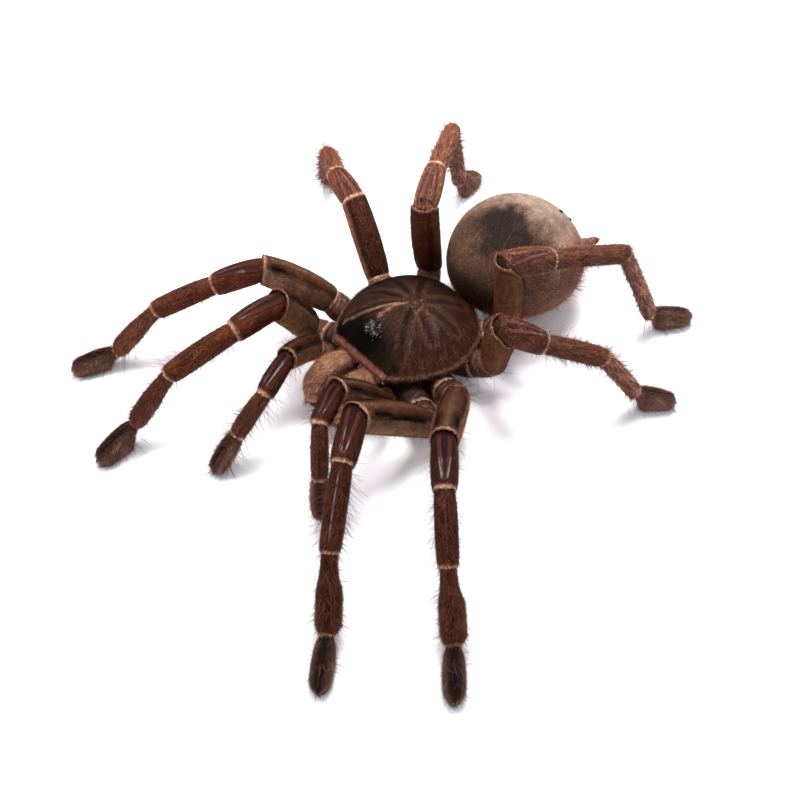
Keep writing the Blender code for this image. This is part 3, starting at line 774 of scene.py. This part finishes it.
def growLimbHair(hair, long, part, kind, shell, count):
    # short pile everywhere but on the bald stripes, a pale fringe over each rim, brushes on the pads of the
    # feet, and long rusty hairs from the tibia on
    outer = (1 - shell["inside"]) * (shell["points"][..., 2] > 0.15)
    furred = outer * (1 - ease(0.15, 0.6, shell["bare"]))
    angle, t = np.abs(shell["angle"]), shell["t"]
    rear, shaggy = kind in rearLegs, kind in rearLegs and part in ("tibia", "metatarsus")
    if part == "tarsus":
        plantHairs(hair, dict(shell, nap=partedNap(shell, 0.55)), furred, count, brushLook)
    elif part == "metatarsus" and kind in frontLegs:
        pad = ease(0.25, 0.45, t) * ease(25, 70, angle)
        parted = dict(shell, nap=partedNap(shell, 0.45))
        plantHairs(hair, parted, furred * (1 - 0.7 * pad), count // 2, pileLook, length=0.8)
        plantHairs(hair, parted, furred * pad, count // 2, brushLook)
    elif shaggy:
        plantHairs(hair, shell, furred, count, pileLook, length=0.85, lean=26)
    else:
        plantHairs(hair, shell, furred, count, pileLook)
    if part != "tarsus":
        edge = outer * (shell["fromEnd"] < 0.6)
        rim = shell["points"][-5]
        around = 2 * math.pi * np.linalg.norm(rim - rim.mean(axis=0), axis=-1).mean()
        number = int(around * hairCounts["fringePerMm"])
        plantHairs(hair, shell, edge, number, fringeLook, tint=legTones["rim"])
    haired = outer * (1 - np.minimum(shell["gloss"] * 2, 1))
    setae = hairCounts["palpSeta" if kind == "pedipalp" else "seta"].get(part, 0)
    if setae:
        plantHairs(long, shell, haired, setae, setaLook)
    if part in hairCounts["shag"]:
        shags = hairCounts["rearShag" if rear else "shag"][part]
        plantHairs(long, shell, haired, shags, shagLook, tint=rusts[rear])
    if shaggy:
        plantSpines(long, shell, outer * (0.4 + ease(60, 110, angle)), hairCounts["rearSpines"], spineLook)
    elif part == "tibia":
        place = outer * ease(0.85, 0.93, t) * ease(70, 120, angle)
        plantSpines(long, shell, place, hairCounts["tibiaSpines"], spineLook)


def claw(shell, side):  # a small hooked claw at the tip of a foot
    points = shell["points"]
    along = unit(points[-1].mean(axis=0) - points[-4].mean(axis=0))
    across = unit(np.cross((0, 0, 1), along))
    t = np.linspace(0, 1, 10)[:, None]
    root = points[-3].mean(axis=0) + across * side * 0.55 + np.array([0, 0, 0.35])
    route = root + along * 2.3 * t + np.array([0, 0, 1]) * (0.55 * np.sin(math.pi * t) - 0.9 * t**2)
    route[:, 2] = np.maximum(route[:, 2], 0.25)
    radius = 0.24 * (1 - 0.85 * t[:, 0])
    return plainShell(sweep(route, radius, radius, 10), legTones["dark"], 1)


def underPile(shell):  # the skin between the hairs lies in their shade
    return dict(shell, tint=shell["tint"] * (0.4 + 0.6 * shell["gloss"])[..., None])


def makeLimb(name, side, kind):
    joints, names = jointPlaces(name, side, kind), namesOf(kind)
    wide = hips[kind][2]
    hipForms = ((1.1 * wide, 1.2 * wide, 1.12 * wide, 1.1), (1.05 * wide, 1.12 * wide, wide, 1.08))
    forms = (*hipForms, *legForms[kind])
    ways = [unit(b - a) for a, b in zip(joints, joints[1:])]
    backs = [np.array([0.0, 0.0, 1.0])] * len(hipParts) + [backOf(*pose) for pose in poses[name]]
    skin, hair, long = Coat(), Coat(), Coat()
    shells = []
    for i, part in enumerate(names):
        last = i + 1 == len(names)
        before = unit(ways[i - 1] + ways[i]) if i else ways[0]
        after = ways[i] if last else unit(ways[i] + ways[i + 1])
        start, end = joints[i : i + 2]
        shell = segmentShell(part, kind, name, start, end, backs[i], forms[i], before, after, last)
        shell = paintSegment(shell, part, kind, name)
        shells.append(shell)
        bent = math.degrees(math.acos(np.clip(ways[i - 1] @ ways[i], -1, 1)))
        if part in ("patella", "tibia", "metatarsus") and bent > limb["knuckleBend"]:
            # the hidden ball of the joint closes the sleeve where the leg bends; its dark colour is painted
            # shade in the gap
            radius = limb["knuckle"] * halfWidth(part, kind, name, forms[i], np.array([0.05]), 10)[0]
            outward = unit(ways[i - 1] - ways[i]) * ease(40, 90, bent)
            centre = start + limb["knuckleShift"] * radius * outward
            ball = bead(centre, radius, legTones["knuckle"], 0.0, 30)
            skin.addShell(ball)
            even = np.ones(ball["points"].shape[:2])
            plantHairs(hair, ball, even, limb["knuckleHairs"], pileLook, clump=0)
        skin.addShell(underPile(shell))
    if kind != "pedipalp":
        skin.addShell(claw(shells[-1], 1))
        skin.addShell(claw(shells[-1], -1))
    skin.piece(f"{name}_skin", pileMaterial, "leg_pile", name)
    areas = [segmentArea(shell) for shell in shells]
    for part, shell, area in zip(names, shells, areas):
        growLimbHair(hair, long, part, kind, shell, int(hairCounts["pilePerLimb"] * area / sum(areas)))
    hair.piece(f"{name}_pile", hairMaterial, "leg_pile")
    long.piece(f"{name}_setae", setaMaterial, "long_hair")


sideOf = {"left": 1, "right": -1}
for sideName, side in sideOf.items():
    for kind in ("pedipalp", "leg_1", "leg_2", "leg_3", "leg_4"):
        makeLimb(f"{sideName}_{kind}", side, kind)
print("limbs made")

# Cephalothorax

carapace = {
    "outline": (  # of its left half, from front to rear
        (0, -18.5), (7.2, -18.2), (11.0, -17.5), (16.7, -9.5),
        (19.6, 1), (16.1, 12.5), (8.2, 18.9), (0, 19.9),
    ),
    "rimLevel": -2.3,
    "rimWave": 0.2,
    "rimThickness": 0.9,
    "rimEdge": ((0.985, 1.0), (1.0, 0.8), (1.004, 0.4)),  # reach and depth of its rings, over the thickness
    "domeHeight": 8.6,
    "domeFullness": 3.3,
    "foveaY": 4.5,
    "eyeY": -13.1,
    "flankHalf": (7.2, 12.0),
    "sternumLevel": -12.4,
    "sternumRings": (  # reach and rise
        (0.02, -0.3), (0.25, -0.3), (0.5, -0.2), (0.75, 0.0), (0.92, 0.5), (0.98, 1.1), (1.0, 2.0),
    ),
    "eyes": (  # x, y, radius and colour: two dark ones in front, the others pearly, their light grey partly a painted glint
        (0.55, -13.8, 0.5, "#050405"), (1.55, -13.8, 0.44, "#4d4846"),
        (1.75, -12.6, 0.4, "#77706c"), (0.95, -12.6, 0.32, "#8f8884"),
    ),
    "headGroove": ((1.0, 0.5), (3.0, -4.4), (5.4, -8.8), (8.0, -12.3), (11.5, -14.1)),
    "browShade": ((3.0, -14.0), (6.5, -13.8), (10.5, -14.6)),
    "rightShade": ((-3.0, -12.6), (-7.0, -13.4), (-10.8, -15.6)),
    "crests": (
        ((-1.2, 0.9), (-1.6, -4.5), (-1.5, -9.5)),
        ((-1.2, 0.9), (-3.0, -4.4), (-5.4, -8.8), (-8.0, -12.3), (-11.0, -13.9)),
    ),
    "furrows": (
        ((1.5, 1.5), (4.0, -3.5), (7.5, -8.5), (10.5, -12.0)),
        ((2.0, 2.2), (7.0, 0.0), (12.5, -2.5)),
        ((2.0, 3.6), (8.0, 5.0), (13.5, 5.5)),
        ((1.5, 5.0), (5.0, 10.0), (7.5, 14.0)),
    ),
    "furrowDepth": 0.5,
    "bareStreaks": (((-4.4, 3.2), (-8.4, 1.6)), ((7.2, 2.6), (11.2, 0.9))),
    "rays": ((9, 0.4), (13, 2.1), (18, 4.4), (25, 1.0), (34, 3.0), (47, 5.2)),  # count and phase
    "hairs": {"pile": 106000, "dust": 1300, "under": 16000, "fringe": 3400, "sparkle": 90, "eyes": 60,
              "breastplate": 900},
}


def carapaceHeight(x, y, reach):
    # a dome that is flat on top, a head that rises in front, the eye mound, the pit of the fovea and the
    # furrows that run out from it
    dome = carapace["domeHeight"] * (1 - reach ** carapace["domeFullness"])
    inside = 1 - reach**6
    head = 1.9 * np.exp(-((x / 6.5) ** 2)) / (1 + np.exp((y + 1.5) / 2.2)) * inside
    mound = 1.6 * np.exp(-((x / 2.3) ** 2) - ((y - carapace["eyeY"]) / 1.9) ** 2)
    pit = 1.1 * np.exp(-((x / 1.8) ** 2) - ((y - carapace["foveaY"]) / 1.1) ** 2)
    furrows = sum(bell(nearLine(np.abs(x), y, route), 0, 1.2) for route in carapace["furrows"])
    return dome + head + mound - pit - carapace["furrowDepth"] * np.minimum(furrows, 1) * inside


def makeCephalothorax():
    # rings from the middle of the breastplate out and up to the rim, then over the dome to its top
    half = smoothCurve(carapace["outline"], 61)
    outline = np.vstack([half, half[-2:0:-1] * (-1, 1)])
    theta = np.arctan2(outline[:, 0], -outline[:, 1])
    rim = carapace["rimLevel"] + carapace["rimWave"] * np.cos(2 * theta)
    flank = np.stack([np.sin(theta), -np.cos(theta)], -1) * carapace["flankHalf"]
    level, thick = carapace["sternumLevel"], carapace["rimThickness"]
    rings = [(flank * share, np.full(len(flank), level + rise)) for share, rise in carapace["sternumRings"]]
    rings += [(flank, rim - 3.2), (outline * 0.7 + flank * 0.2, rim - thick - 1.0)]
    rings.append((outline * 0.9, rim - thick - 0.2))
    edgeStart = len(rings)
    rings += [(outline * share, rim - thick * depth) for share, depth in carapace["rimEdge"]]
    topStart = len(rings)
    reaches = np.concatenate([1 - np.linspace(0, 1, 14)[:-1] ** 1.5 * 0.18, np.linspace(0.82, 0.015, 46)])
    for reach in reaches:
        place = outline * reach
        rings.append((place, rim + carapaceHeight(place[:, 0], place[:, 1], reach)))
    local = np.stack([np.column_stack([xy, z]) for xy, z in rings])
    x, y, z = local[..., 0], local[..., 1], local[..., 2]
    row = np.arange(len(rings))[:, None]
    top = np.broadcast_to(row >= topStart, x.shape).astype(float)
    edge = ((row >= edgeStart) & (row < topStart)).astype(float)
    reach = np.broadcast_to(np.concatenate([np.zeros(topStart), reaches])[:, None], x.shape)
    skin, shell = Coat(), paintCarapace(local, top, edge, reach)
    skin.addShell(underPile(shell))
    for eyeX, eyeY, radius, colour in carapace["eyes"]:
        for side in (1, -1):
            lift = rim.min() + carapaceHeight(eyeX, eyeY, 0.72) + 0.45 * radius
            skin.addShell(bead(tilted((side * eyeX, eyeY, lift), bodyTilt), radius, colour, 1.0))
    skin.piece("carapace_skin", pileMaterial, "carapace_pile", "cephalothorax")
    hair, long, count = Coat(), Coat(), carapace["hairs"]
    furred = 1 - shell["gloss"]
    plantHairs(hair, shell, top * furred, count["pile"], crownLook)
    lines = sum(bell(nearLine(x, y, route), 0, 0.7) for route in carapace["crests"])
    dust = (lines + 0.35 * bell(np.hypot(x - 0.8, y - 3.0), 0, 3.2)) * top
    dust = dust * (1 + 0.8 * clouds(local, 1.5))
    plantHairs(hair, shell, dust, count["dust"], crownLook, width=0.07, lean=30, stray=60, fleck=0.6,
               tint=carapaceTones["crest"])
    plantHairs(hair, shell, (1 - top) * furred, count["under"], pileLook, length=1.0, width=0.1)
    fringe = top * (reach > 0.965) * (1 - shell["bare"])
    outward = dict(shell, nap=-np.gradient(shell["points"], axis=0))
    plantHairs(hair, outward, fringe, count["fringe"], fringeLook, length=0.9, width=0.07, stray=40, fleck=0.5,
               tint=carapaceTones["fringe"])
    hair.piece("carapace_pile", hairMaterial, "carapace_pile")
    aroundEyes = (np.hypot(x, y - carapace["eyeY"]) < 4) * top
    # pale hairs about the eye mound: a painted sparkle standing in for the eyes' glints
    sparkle = bell(np.hypot(x / 1.3, y - carapace["eyeY"]), 0, 1.4) * top
    plantHairs(long, shell, sparkle, count["sparkle"], shagLook, length=0.8, width=0.09, lean=40, stray=180,
               tint="#97857a")
    plantHairs(long, shell, aroundEyes, count["eyes"], setaLook, length=1.5, lean=60, tint="#1c100c")
    under = (1 - top) * (z < -5)
    plantHairs(long, shell, under, count["breastplate"], shagLook, length=2.0, lean=40, tint="#5a3426")
    long.piece("carapace_setae", setaMaterial, "long_hair")


def paintCarapace(local, top, edge, reach):
    # dark pile with faint rays, a black head, pale crests, painted shade in the furrows, and a bare rim in
    # front
    x, y = local[..., 0], local[..., 1]
    tone = {key: linear(value) for key, value in carapaceTones.items()}
    angle, spread = np.arctan2(x, carapace["foveaY"] - y), np.hypot(x, y - carapace["foveaY"])
    tint = np.broadcast_to(tone["pile"], (*x.shape, 3)).copy()
    tint = mixed(tint, tone["edge"], 0.6 * ease(0.72, 0.95, reach))
    # painted shade: the middle of the dome, which faces the light, is darkened
    tint = tint * (1 - 0.3 * bell(np.hypot(x - 5, y + 4), 0, 7))[..., None]
    rays = sum(np.cos(n * angle + phase) for n, phase in carapace["rays"]) / len(carapace["rays"])
    tint = tint * np.exp(0.2 * rays * ease(3, 8, spread))[..., None]
    leftward = ease(2, 7, x)
    tint = layered(tint, tone, [
        ("dark", (0.93 - 0.25 * leftward) * (1 - ease(-14.8, -11.0, y + 0.25 * np.abs(x + 1)))),
        ("dark", 1.1 * bell(np.hypot(x / 1.25, y - carapace["eyeY"] + 0.3), 0, 2.9)),
        ("dark", (0.93 - 0.2 * leftward) * bell(nearLine(np.abs(x), y, carapace["browShade"]), 0, 1.9)),
        ("dark", 0.95 * bell(nearLine(x, y, carapace["rightShade"]), 0, 2.5)),
        ("dark", 0.6 * bell(np.hypot(x / 1.6, y + 15.5), 0, 3.0)),
        # painted shade along the head grooves
        ("dark", 0.6 * bell(nearLine(-x, y, carapace["headGroove"]), 1.0, 0.7) * ease(0, 6, -y)),
        ("dark", 0.5 * bell(nearLine(x, y, carapace["headGroove"]), 0, 0.9)),
        ("pit", 0.6 * bell(np.hypot(x - 0.6, (y - 3.6) * 1.2), 0, 2.0)),
    ])
    for route in carapace["crests"]:
        broken = 0.38 + 0.25 * clouds(local, 2.5)
        tint = mixed(tint, tone["crest"], broken * bell(nearLine(x, y, route), 0, 0.6))
    # painted shade in the furrows and painted light on their banks
    fades = 1 - ease(0.8, 0.95, reach)
    for route in carapace["furrows"]:
        off = nearLine(np.abs(x), y, route)
        tint = mixed(tint, tone["dark"], 0.42 * bell(off, 0, 0.7) * fades)
        tint = mixed(tint, tone["crest"], 0.09 * bell(off, 1.7, 0.6) * fades)
    # bare streaks, their bluish grey a painted reflection of the surroundings
    shine = sum(bell(nearLine(x, y, route), 0, 0.45) for route in carapace["bareStreaks"]) * top
    tint = mixed(tint, tone["shine"], 0.8 * shine)
    front = (1 - ease(-17.7, -17.0, y)) * (np.abs(x) < 10.8)
    bare = front * np.maximum(top * ease(0.95, 0.962, reach), edge)
    tint = mixed(tint, tone["fringe"], top * 0.6 * ease(0.98, 0.992, reach) * (1 - bare))
    scratches = np.exp(0.25 * clouds(local * (1, 0.2, 0.2), 0.35))[..., None]
    tint = mixed(tint, tone["clypeus"] * scratches, bare)
    tint = mixed(tint, tone["under"], (1 - top) * (1 - edge))
    gloss = np.clip(0.4 * bare + 0.3 * shine, 0, 1)
    grain = np.stack([spread, 9 * np.cos(angle), 9 * np.sin(angle)], -1)
    return {"points": tilted(local, bodyTilt), "tint": tint, "gloss": gloss, "grain": grain, "bare": bare}


carapaceTones = {
    "pile": "#29140c",
    "edge": "#3d2317",
    "dark": "#040202",
    "pit": "#1d130d",
    "crest": "#7d5c48",
    # painted reflection on the bare streaks
    "shine": "#2f2a36",
    "fringe": "#6b4d3e",
    "clypeus": "#75493f",
    "under": "#2c1b16",
}
crownLook = dict(pileLook, length=0.5, width=0.085, lean=18, stray=24, clump=0.4, clumpPitch=0.4, paleness=0.07,
                 paleShare=0.12, tipShade=2.8)
makeCephalothorax()
print("cephalothorax made")

# Abdomen

abdomen = {
    "middle": (2.6, 38.8, 17.75),
    "length": 40.8,
    "width": 39.0,
    "height": 32.6,
    "heading": 92.3,
    "pitch": -6.9,
    "swell": 0.12,
    "stalk": ((0.4, 16.6, 9.4), (0.9, 18.6, 9.9), (1.4, 20.8, 11.2), (2.0, 24.0, 13.4)),
    "stalkRadii": (1.8, 1.9, 2.1, 3.0),
    "spinneretRoot": (5.6, 57.0, 10.6),
    "spinneretTip": (13.2, 64.6, 15.4),
    "spinneretRadius": 2.1,
    "lumps": (((0.2, 0.72, 0.67), 0.9), ((0.31, 0.8, 0.515), 0.8)),  # way from the middle, and radius
    "hairs": {"pile": 130000, "spinneret": 1400, "back": 5000, "sides": 2400, "belly": 6000},
}


def makeAbdomen():
    # an egg of rings along its axis, fuller behind
    along = direction(abdomen["heading"], abdomen["pitch"])
    across = unit(np.cross((0, 0, 1), along))
    up = np.cross(along, across)
    turn = np.linspace(0, 2 * math.pi, 110, endpoint=False)[:, None]
    rings = []
    for theta in np.linspace(0.03, math.pi - 0.03, 92):
        cosine = math.cos(theta)
        stretch = math.sin(theta) * (1 - abdomen["swell"] * cosine)
        centre = np.array(abdomen["middle"]) - along * abdomen["length"] / 2 * cosine
        sideways = np.cos(turn) * across * abdomen["width"] / 2
        rings.append(centre + stretch * (sideways + np.sin(turn) * up * abdomen["height"] / 2))
    shell = paintAbdomen(np.stack(rings), along, across, up)
    fingers = [spinneret(side) for side in (1, -1)]
    skin = Coat()
    # painted shade: the skin between the hairs is darkened, less where the top is bald
    skin.addShell(dict(shell, tint=shell["tint"] * (0.55 + 0.45 * shell["bald"])[..., None]))
    for part in (pedicel(), *fingers):
        skin.addShell(part)
    for way, radius in abdomen["lumps"]:
        reach = np.array([abdomen["width"], abdomen["length"], abdomen["height"]])
        place = abdomen["middle"] + unit(way) * reach / 2
        skin.addShell(bead(place, radius, abdomenTones["dark"], 0.0))
    skin.piece("abdomen_skin", pileMaterial, "abdomen_skin", "abdomen")
    hair, long, count = Coat(), Coat(), abdomen["hairs"]
    rise, back = shell["rise"], shell["back"]
    plantHairs(hair, shell, 1 - 0.7 * shell["bald"], count["pile"], pileLook, length=0.5, width=0.075, lean=34,
               stray=40, rootShade=0.6, tipShade=2.0, clump=0.3, clumpPitch=0.5, paleShare=0.14, paleness=0.14)
    for finger in fingers:
        even = np.ones(finger["points"].shape[:2])
        plantHairs(hair, finger, even, count["spinneret"], pileLook, length=0.9)
    hair.piece("abdomen_pile", hairMaterial, "abdomen_skin")
    plantHairs(long, shell, 1 - 0.6 * shell["bald"], count["back"], shagLook, length=1.2, lean=38, stray=30,
               width=0.05, tint="#35211a")
    sides = ease(-0.1, 0.6, back) * (1 - ease(-0.1, 0.45, rise))
    plantHairs(long, shell, sides, count["sides"], setaLook, length=5.0, lean=42, width=0.085, tint="#86503a")
    belly = 1 - ease(-0.45, -0.05, rise)
    plantHairs(long, shell, belly, count["belly"], shagLook, sections=2, length=2.0, lean=30, stray=22,
               tint="#85492e")
    long.piece("abdomen_setae", setaMaterial, "long_hair")


def paintAbdomen(points, along, across, up):
    # brown pile that goes thin and grey over the back of the top, with a black-brown patch before it
    offset = points - abdomen["middle"]
    rise = offset @ up / (abdomen["height"] / 2)
    back = offset @ along / (abdomen["length"] / 2)
    left = offset @ -across / (abdomen["width"] / 2)
    tone = {key: linear(value) for key, value in abdomenTones.items()}
    rough, fine = clouds(points, 8.0), clouds(points, 2.4, 30)
    warp = 0.1 * rough + 0.05 * fine
    bald = ease(0.25, 0.8, rise + 0.3 * back + warp) * ease(-0.2, 0.3, back + warp)
    right = ease(0.3, 0.8, rise + warp) * ease(0.2, 0.6, -left + warp)
    dark = bell(np.hypot((left - 0.03) / 0.7, (back + 0.34 + warp) / 0.42), 0, 1) * ease(0.0, 0.4, rise)
    tint = layered(np.broadcast_to(tone["brown"], points.shape), tone, [
        ("tan", 0.8 * right),
        ("grey", bald),
        ("rust", 0.55 * bell(left, 0.75, 0.3) * bell(back, 0.45, 0.35) * bell(rise, 0.45, 0.35)),
        ("dark", np.clip(1.25 * dark, 0, 0.94)),
        ("under", ease(0.15, 0.75, -rise)),
        # painted shade low in front, where the abdomen meets the waist
        ("dark", 0.9 * (1 - ease(-1.0, -0.6, back)) * (1 - ease(0.0, 0.7, rise))),
    ])
    tint = tint * np.exp(0.14 * fine + 0.14 * rough)[..., None]
    return {"points": points, "tint": tint, "gloss": np.zeros(points.shape[:2]),
            "grain": points[..., [1, 0, 2]], "rise": rise, "back": back, "bald": bald}


def pedicel():  # the narrow waist
    way = smoothCurve(np.column_stack([abdomen["stalk"], abdomen["stalkRadii"]]), 20)
    return plainShell(sweep(way[:, :3], way[:, 3], way[:, 3], 24), abdomenTones["dark"], 0.15)


def spinneret(side):
    # a round finger of three joints with a dark tip
    middle = np.array([abdomen["middle"][0], 0, 0])
    root, tip = ((np.array(abdomen[key]) - middle) * (side, 1, 1) + middle
                 for key in ("spinneretRoot", "spinneretTip"))
    t = np.linspace(0, 1, 30)
    creases = 1 - 0.12 * bell(t, 0.38, 0.02) - 0.12 * bell(t, 0.7, 0.02)
    radius = abdomen["spinneretRadius"] * (1 - 0.55 * t**2) * creases
    radius = radius * np.sqrt(np.clip((1.001 - t) / 0.04, 0, 1))
    along = unit(tip - root)
    across = unit(np.cross((0, 0, 1), along))
    up = np.cross(along, across)
    turn = np.linspace(0, 2 * math.pi, 20, endpoint=False)[None, :, None]
    route = (root + (tip - root) * t[:, None])[:, None, :]
    points = route + radius[:, None, None] * (np.cos(turn) * across + np.sin(turn) * up)
    shell = plainShell(points, abdomenTones["spinneret"], 0.2)
    tipped = np.broadcast_to(ease(0.85, 1.0, t)[:, None], points.shape[:2])
    return dict(shell, tint=mixed(shell["tint"], linear(abdomenTones["under"]), tipped))


abdomenTones = {
    "brown": "#6a4b3b",
    "grey": "#836f60",
    "tan": "#6f5344",
    "rust": "#8a4a36",
    "dark": "#15100d",
    "under": "#4b2a1d",
    "spinneret": "#7a5040",
}
makeAbdomen()
print("abdomen made")

# Jaws

jaws = {
    "route": ((4.2, -13.8, 11.9), (4.4, -18.3, 12.2), (4.7, -23.0, 11.6), (4.9, -27.6, 9.0), (5.1, -32.4, 5.6)),
    "halfSizes": ((2.9, 2.2), (3.5, 2.7), (4.6, 4.8), (4.8, 5.1), (3.9, 3.9)),
    "rows": 46,
    "columns": 48,
    "fangRoute": ((5.1, -32.0, 3.0), (4.9, -29.0, 2.3), (4.6, -26.2, 2.2), (4.2, -23.4, 2.9)),
    "fangRadius": 1.1,
    "hairs": {"pile": 22000, "fringe": 1500, "setae": 420},
}


def makeJaw(sideName, side):
    # a bulb with round ends and streaked pile, and its fang
    count = jaws["rows"]
    t = np.linspace(0, 1, count)
    past = np.clip(np.abs(2 * t - 1) - 0.55, 0, 1) / 0.45
    capped = np.sqrt(np.maximum(1 - 0.985 * past**2, 0.01))
    sizes = smoothCurve(jaws["halfSizes"], count) * capped[:, None]
    route = smoothCurve(jaws["route"], count) * (side, 1, 1)
    points = sweep(route, sizes[:, 0], sizes[:, 1], jaws["columns"])
    turn = np.broadcast_to(np.linspace(0, 2 * math.pi, jaws["columns"], endpoint=False), points.shape[:2])
    run = np.broadcast_to(20 * t[:, None], points.shape[:2])
    grain = np.stack([run, 5 * np.cos(turn), 5 * np.sin(turn)], -1)
    shell = dict(plainShell(points, jawTones["pile"], 0), grain=grain)
    tint = shell["tint"] * np.exp(0.22 * clouds(grain * (0.12, 1, 1), 0.7))[..., None]
    # painted shade on the inner face, where the two jaws meet
    shell["tint"] = mixed(tint, linear(jawTones["fang"]), 0.8 * bell(side * points[..., 0], 0.8, 1.2))
    skin = Coat()
    skin.addShell(shell)
    skin.piece(f"{sideName}_jaw_skin", pileMaterial, "jaw_pile", f"{sideName}_chelicera")
    hair, long, number = Coat(), Coat(), jaws["hairs"]
    even = np.ones(points.shape[:2])
    plantHairs(hair, shell, even, number["pile"], pileLook, length=0.9, width=0.085, fleck=0.5, clump=0.45,
               clumpPitch=0.35, paleShare=0.16)
    hair.piece(f"{sideName}_jaw_pile", hairMaterial, "jaw_pile")
    fringe = ease(0.4, 0.7, t)[:, None] * ease(0.0, 0.6, -np.sin(turn))
    plantHairs(long, shell, fringe, number["fringe"], shagLook, length=2.6, lean=45, tint=jawTones["fringe"])
    plantHairs(long, shell, even, number["setae"], setaLook, length=2.0, lean=35)
    long.piece(f"{sideName}_jaw_setae", setaMaterial, "long_hair")
    t = np.linspace(0, 1, 30)
    radius = jaws["fangRadius"] * (1 - 0.85 * t**1.5) * np.sqrt(np.clip((t + 0.01) / 0.05, 0, 1))
    fang = sweep(smoothCurve(jaws["fangRoute"], 30) * (side, 1, 1), radius, radius, 18)
    horn = Coat()
    horn.addShell(plainShell(fang, jawTones["fang"], 1))
    horn.piece(f"{sideName}_fang_horn", pileMaterial, "fang_horn", f"{sideName}_fang")


jawTones = {"pile": "#775440", "fang": "#100908", "fringe": "#8a4630"}
for sideName, side in sideOf.items():
    makeJaw(sideName, side)
print("jaws made")

# Floor, light and camera

camera = {
    "target": (7.5, -3.6, 0.0),  # millimetres in the row's frame
    "azimuth": 49.5,
    "elevation": 52.0,
    "roll": -1.8,
    "distance": 328.0,
    "lens": 52.2,
    "sensorWidth": 36,
    "nearest": 0.01,
}


def placeCamera():
    azimuth, elevation, roll = (math.radians(camera[key]) for key in ("azimuth", "elevation", "roll"))
    level, flat = np.array([math.cos(azimuth), math.sin(azimuth), 0]), math.cos(elevation)
    back = np.array([math.sin(azimuth) * flat, -math.cos(azimuth) * flat, math.sin(elevation)])
    upright = np.cross(back, level)
    right = math.cos(roll) * level + math.sin(roll) * upright
    up = -math.sin(roll) * level + math.cos(roll) * upright
    place = (np.array(camera["target"]) + back * camera["distance"]) * mm
    data = bpy.data.cameras.new("camera")
    data.lens = camera["lens"]
    data.sensor_width = camera["sensorWidth"]
    data.clip_start = camera["nearest"]
    made = bpy.data.objects.new("camera", data)
    matrix = np.eye(4)
    matrix[:3] = np.column_stack([right, up, back, place])
    made.matrix_world = Matrix(matrix.tolist())
    bpy.context.scene.collection.objects.link(made)
    bpy.context.scene.camera = made


floor = {
    "half": 2.0,  # metres
    "colour": (0.93, 0.92, 0.95),  # linear: nearly white, a trace of blue
    "roughness": 0.9,
}


def makeFloor():  # a sheet of matt white paper
    mesh = bpy.data.meshes.new("floor")
    corners = [(x * floor["half"], y * floor["half"], 0) for x, y in ((-1, -1), (1, -1), (1, 1), (-1, 1))]
    mesh.from_pydata(corners, [], [(0, 1, 2, 3)])
    made = bpy.data.objects.new("floor", mesh)
    bpy.context.scene.collection.objects.link(made)
    values = {"Roughness": floor["roughness"], "IOR": 1.5, "Base Color": (*floor["colour"], 1)}
    paper, _, _ = newMaterial("white_paper", values)
    mesh.materials.append(paper)


lights = {  # place and size in metres, power in watts and linear colour
    "key": ((-0.08, 0.11, 0.43), 0.24, 3.7, (1, 0.985, 0.97)),
    "glint": ((-0.17, -0.17, 0.38), 0.06, 0.6, (1, 1, 1)),
}
surroundings = {"colour": (0.95, 0.95, 1.0), "strength": 0.95}  # linear: an even white studio


def addLight(name, place, size, power, colour):
    data = bpy.data.lights.new(name, "AREA")
    data.shape = "DISK"
    data.size = size
    data.energy = power
    data.color = colour
    made = bpy.data.objects.new(name, data)
    made.location = place
    bpy.context.scene.collection.objects.link(made)
    made.rotation_mode = "QUATERNION"
    made.rotation_quaternion = Vector(-np.array(place)).to_track_quat("-Z", "Y")


placeCamera()
makeFloor()
for name, settings in lights.items():
    addLight(name, *settings)
world = bpy.data.worlds.new("studio")
bpy.context.scene.world = world
world.use_nodes = True
background = world.node_tree.nodes["Background"]
background.inputs["Color"].default_value = (*surroundings["colour"], 1)
background.inputs["Strength"].default_value = surroundings["strength"]
bpy.context.scene.view_settings.view_transform = "Standard"
print("stage made")
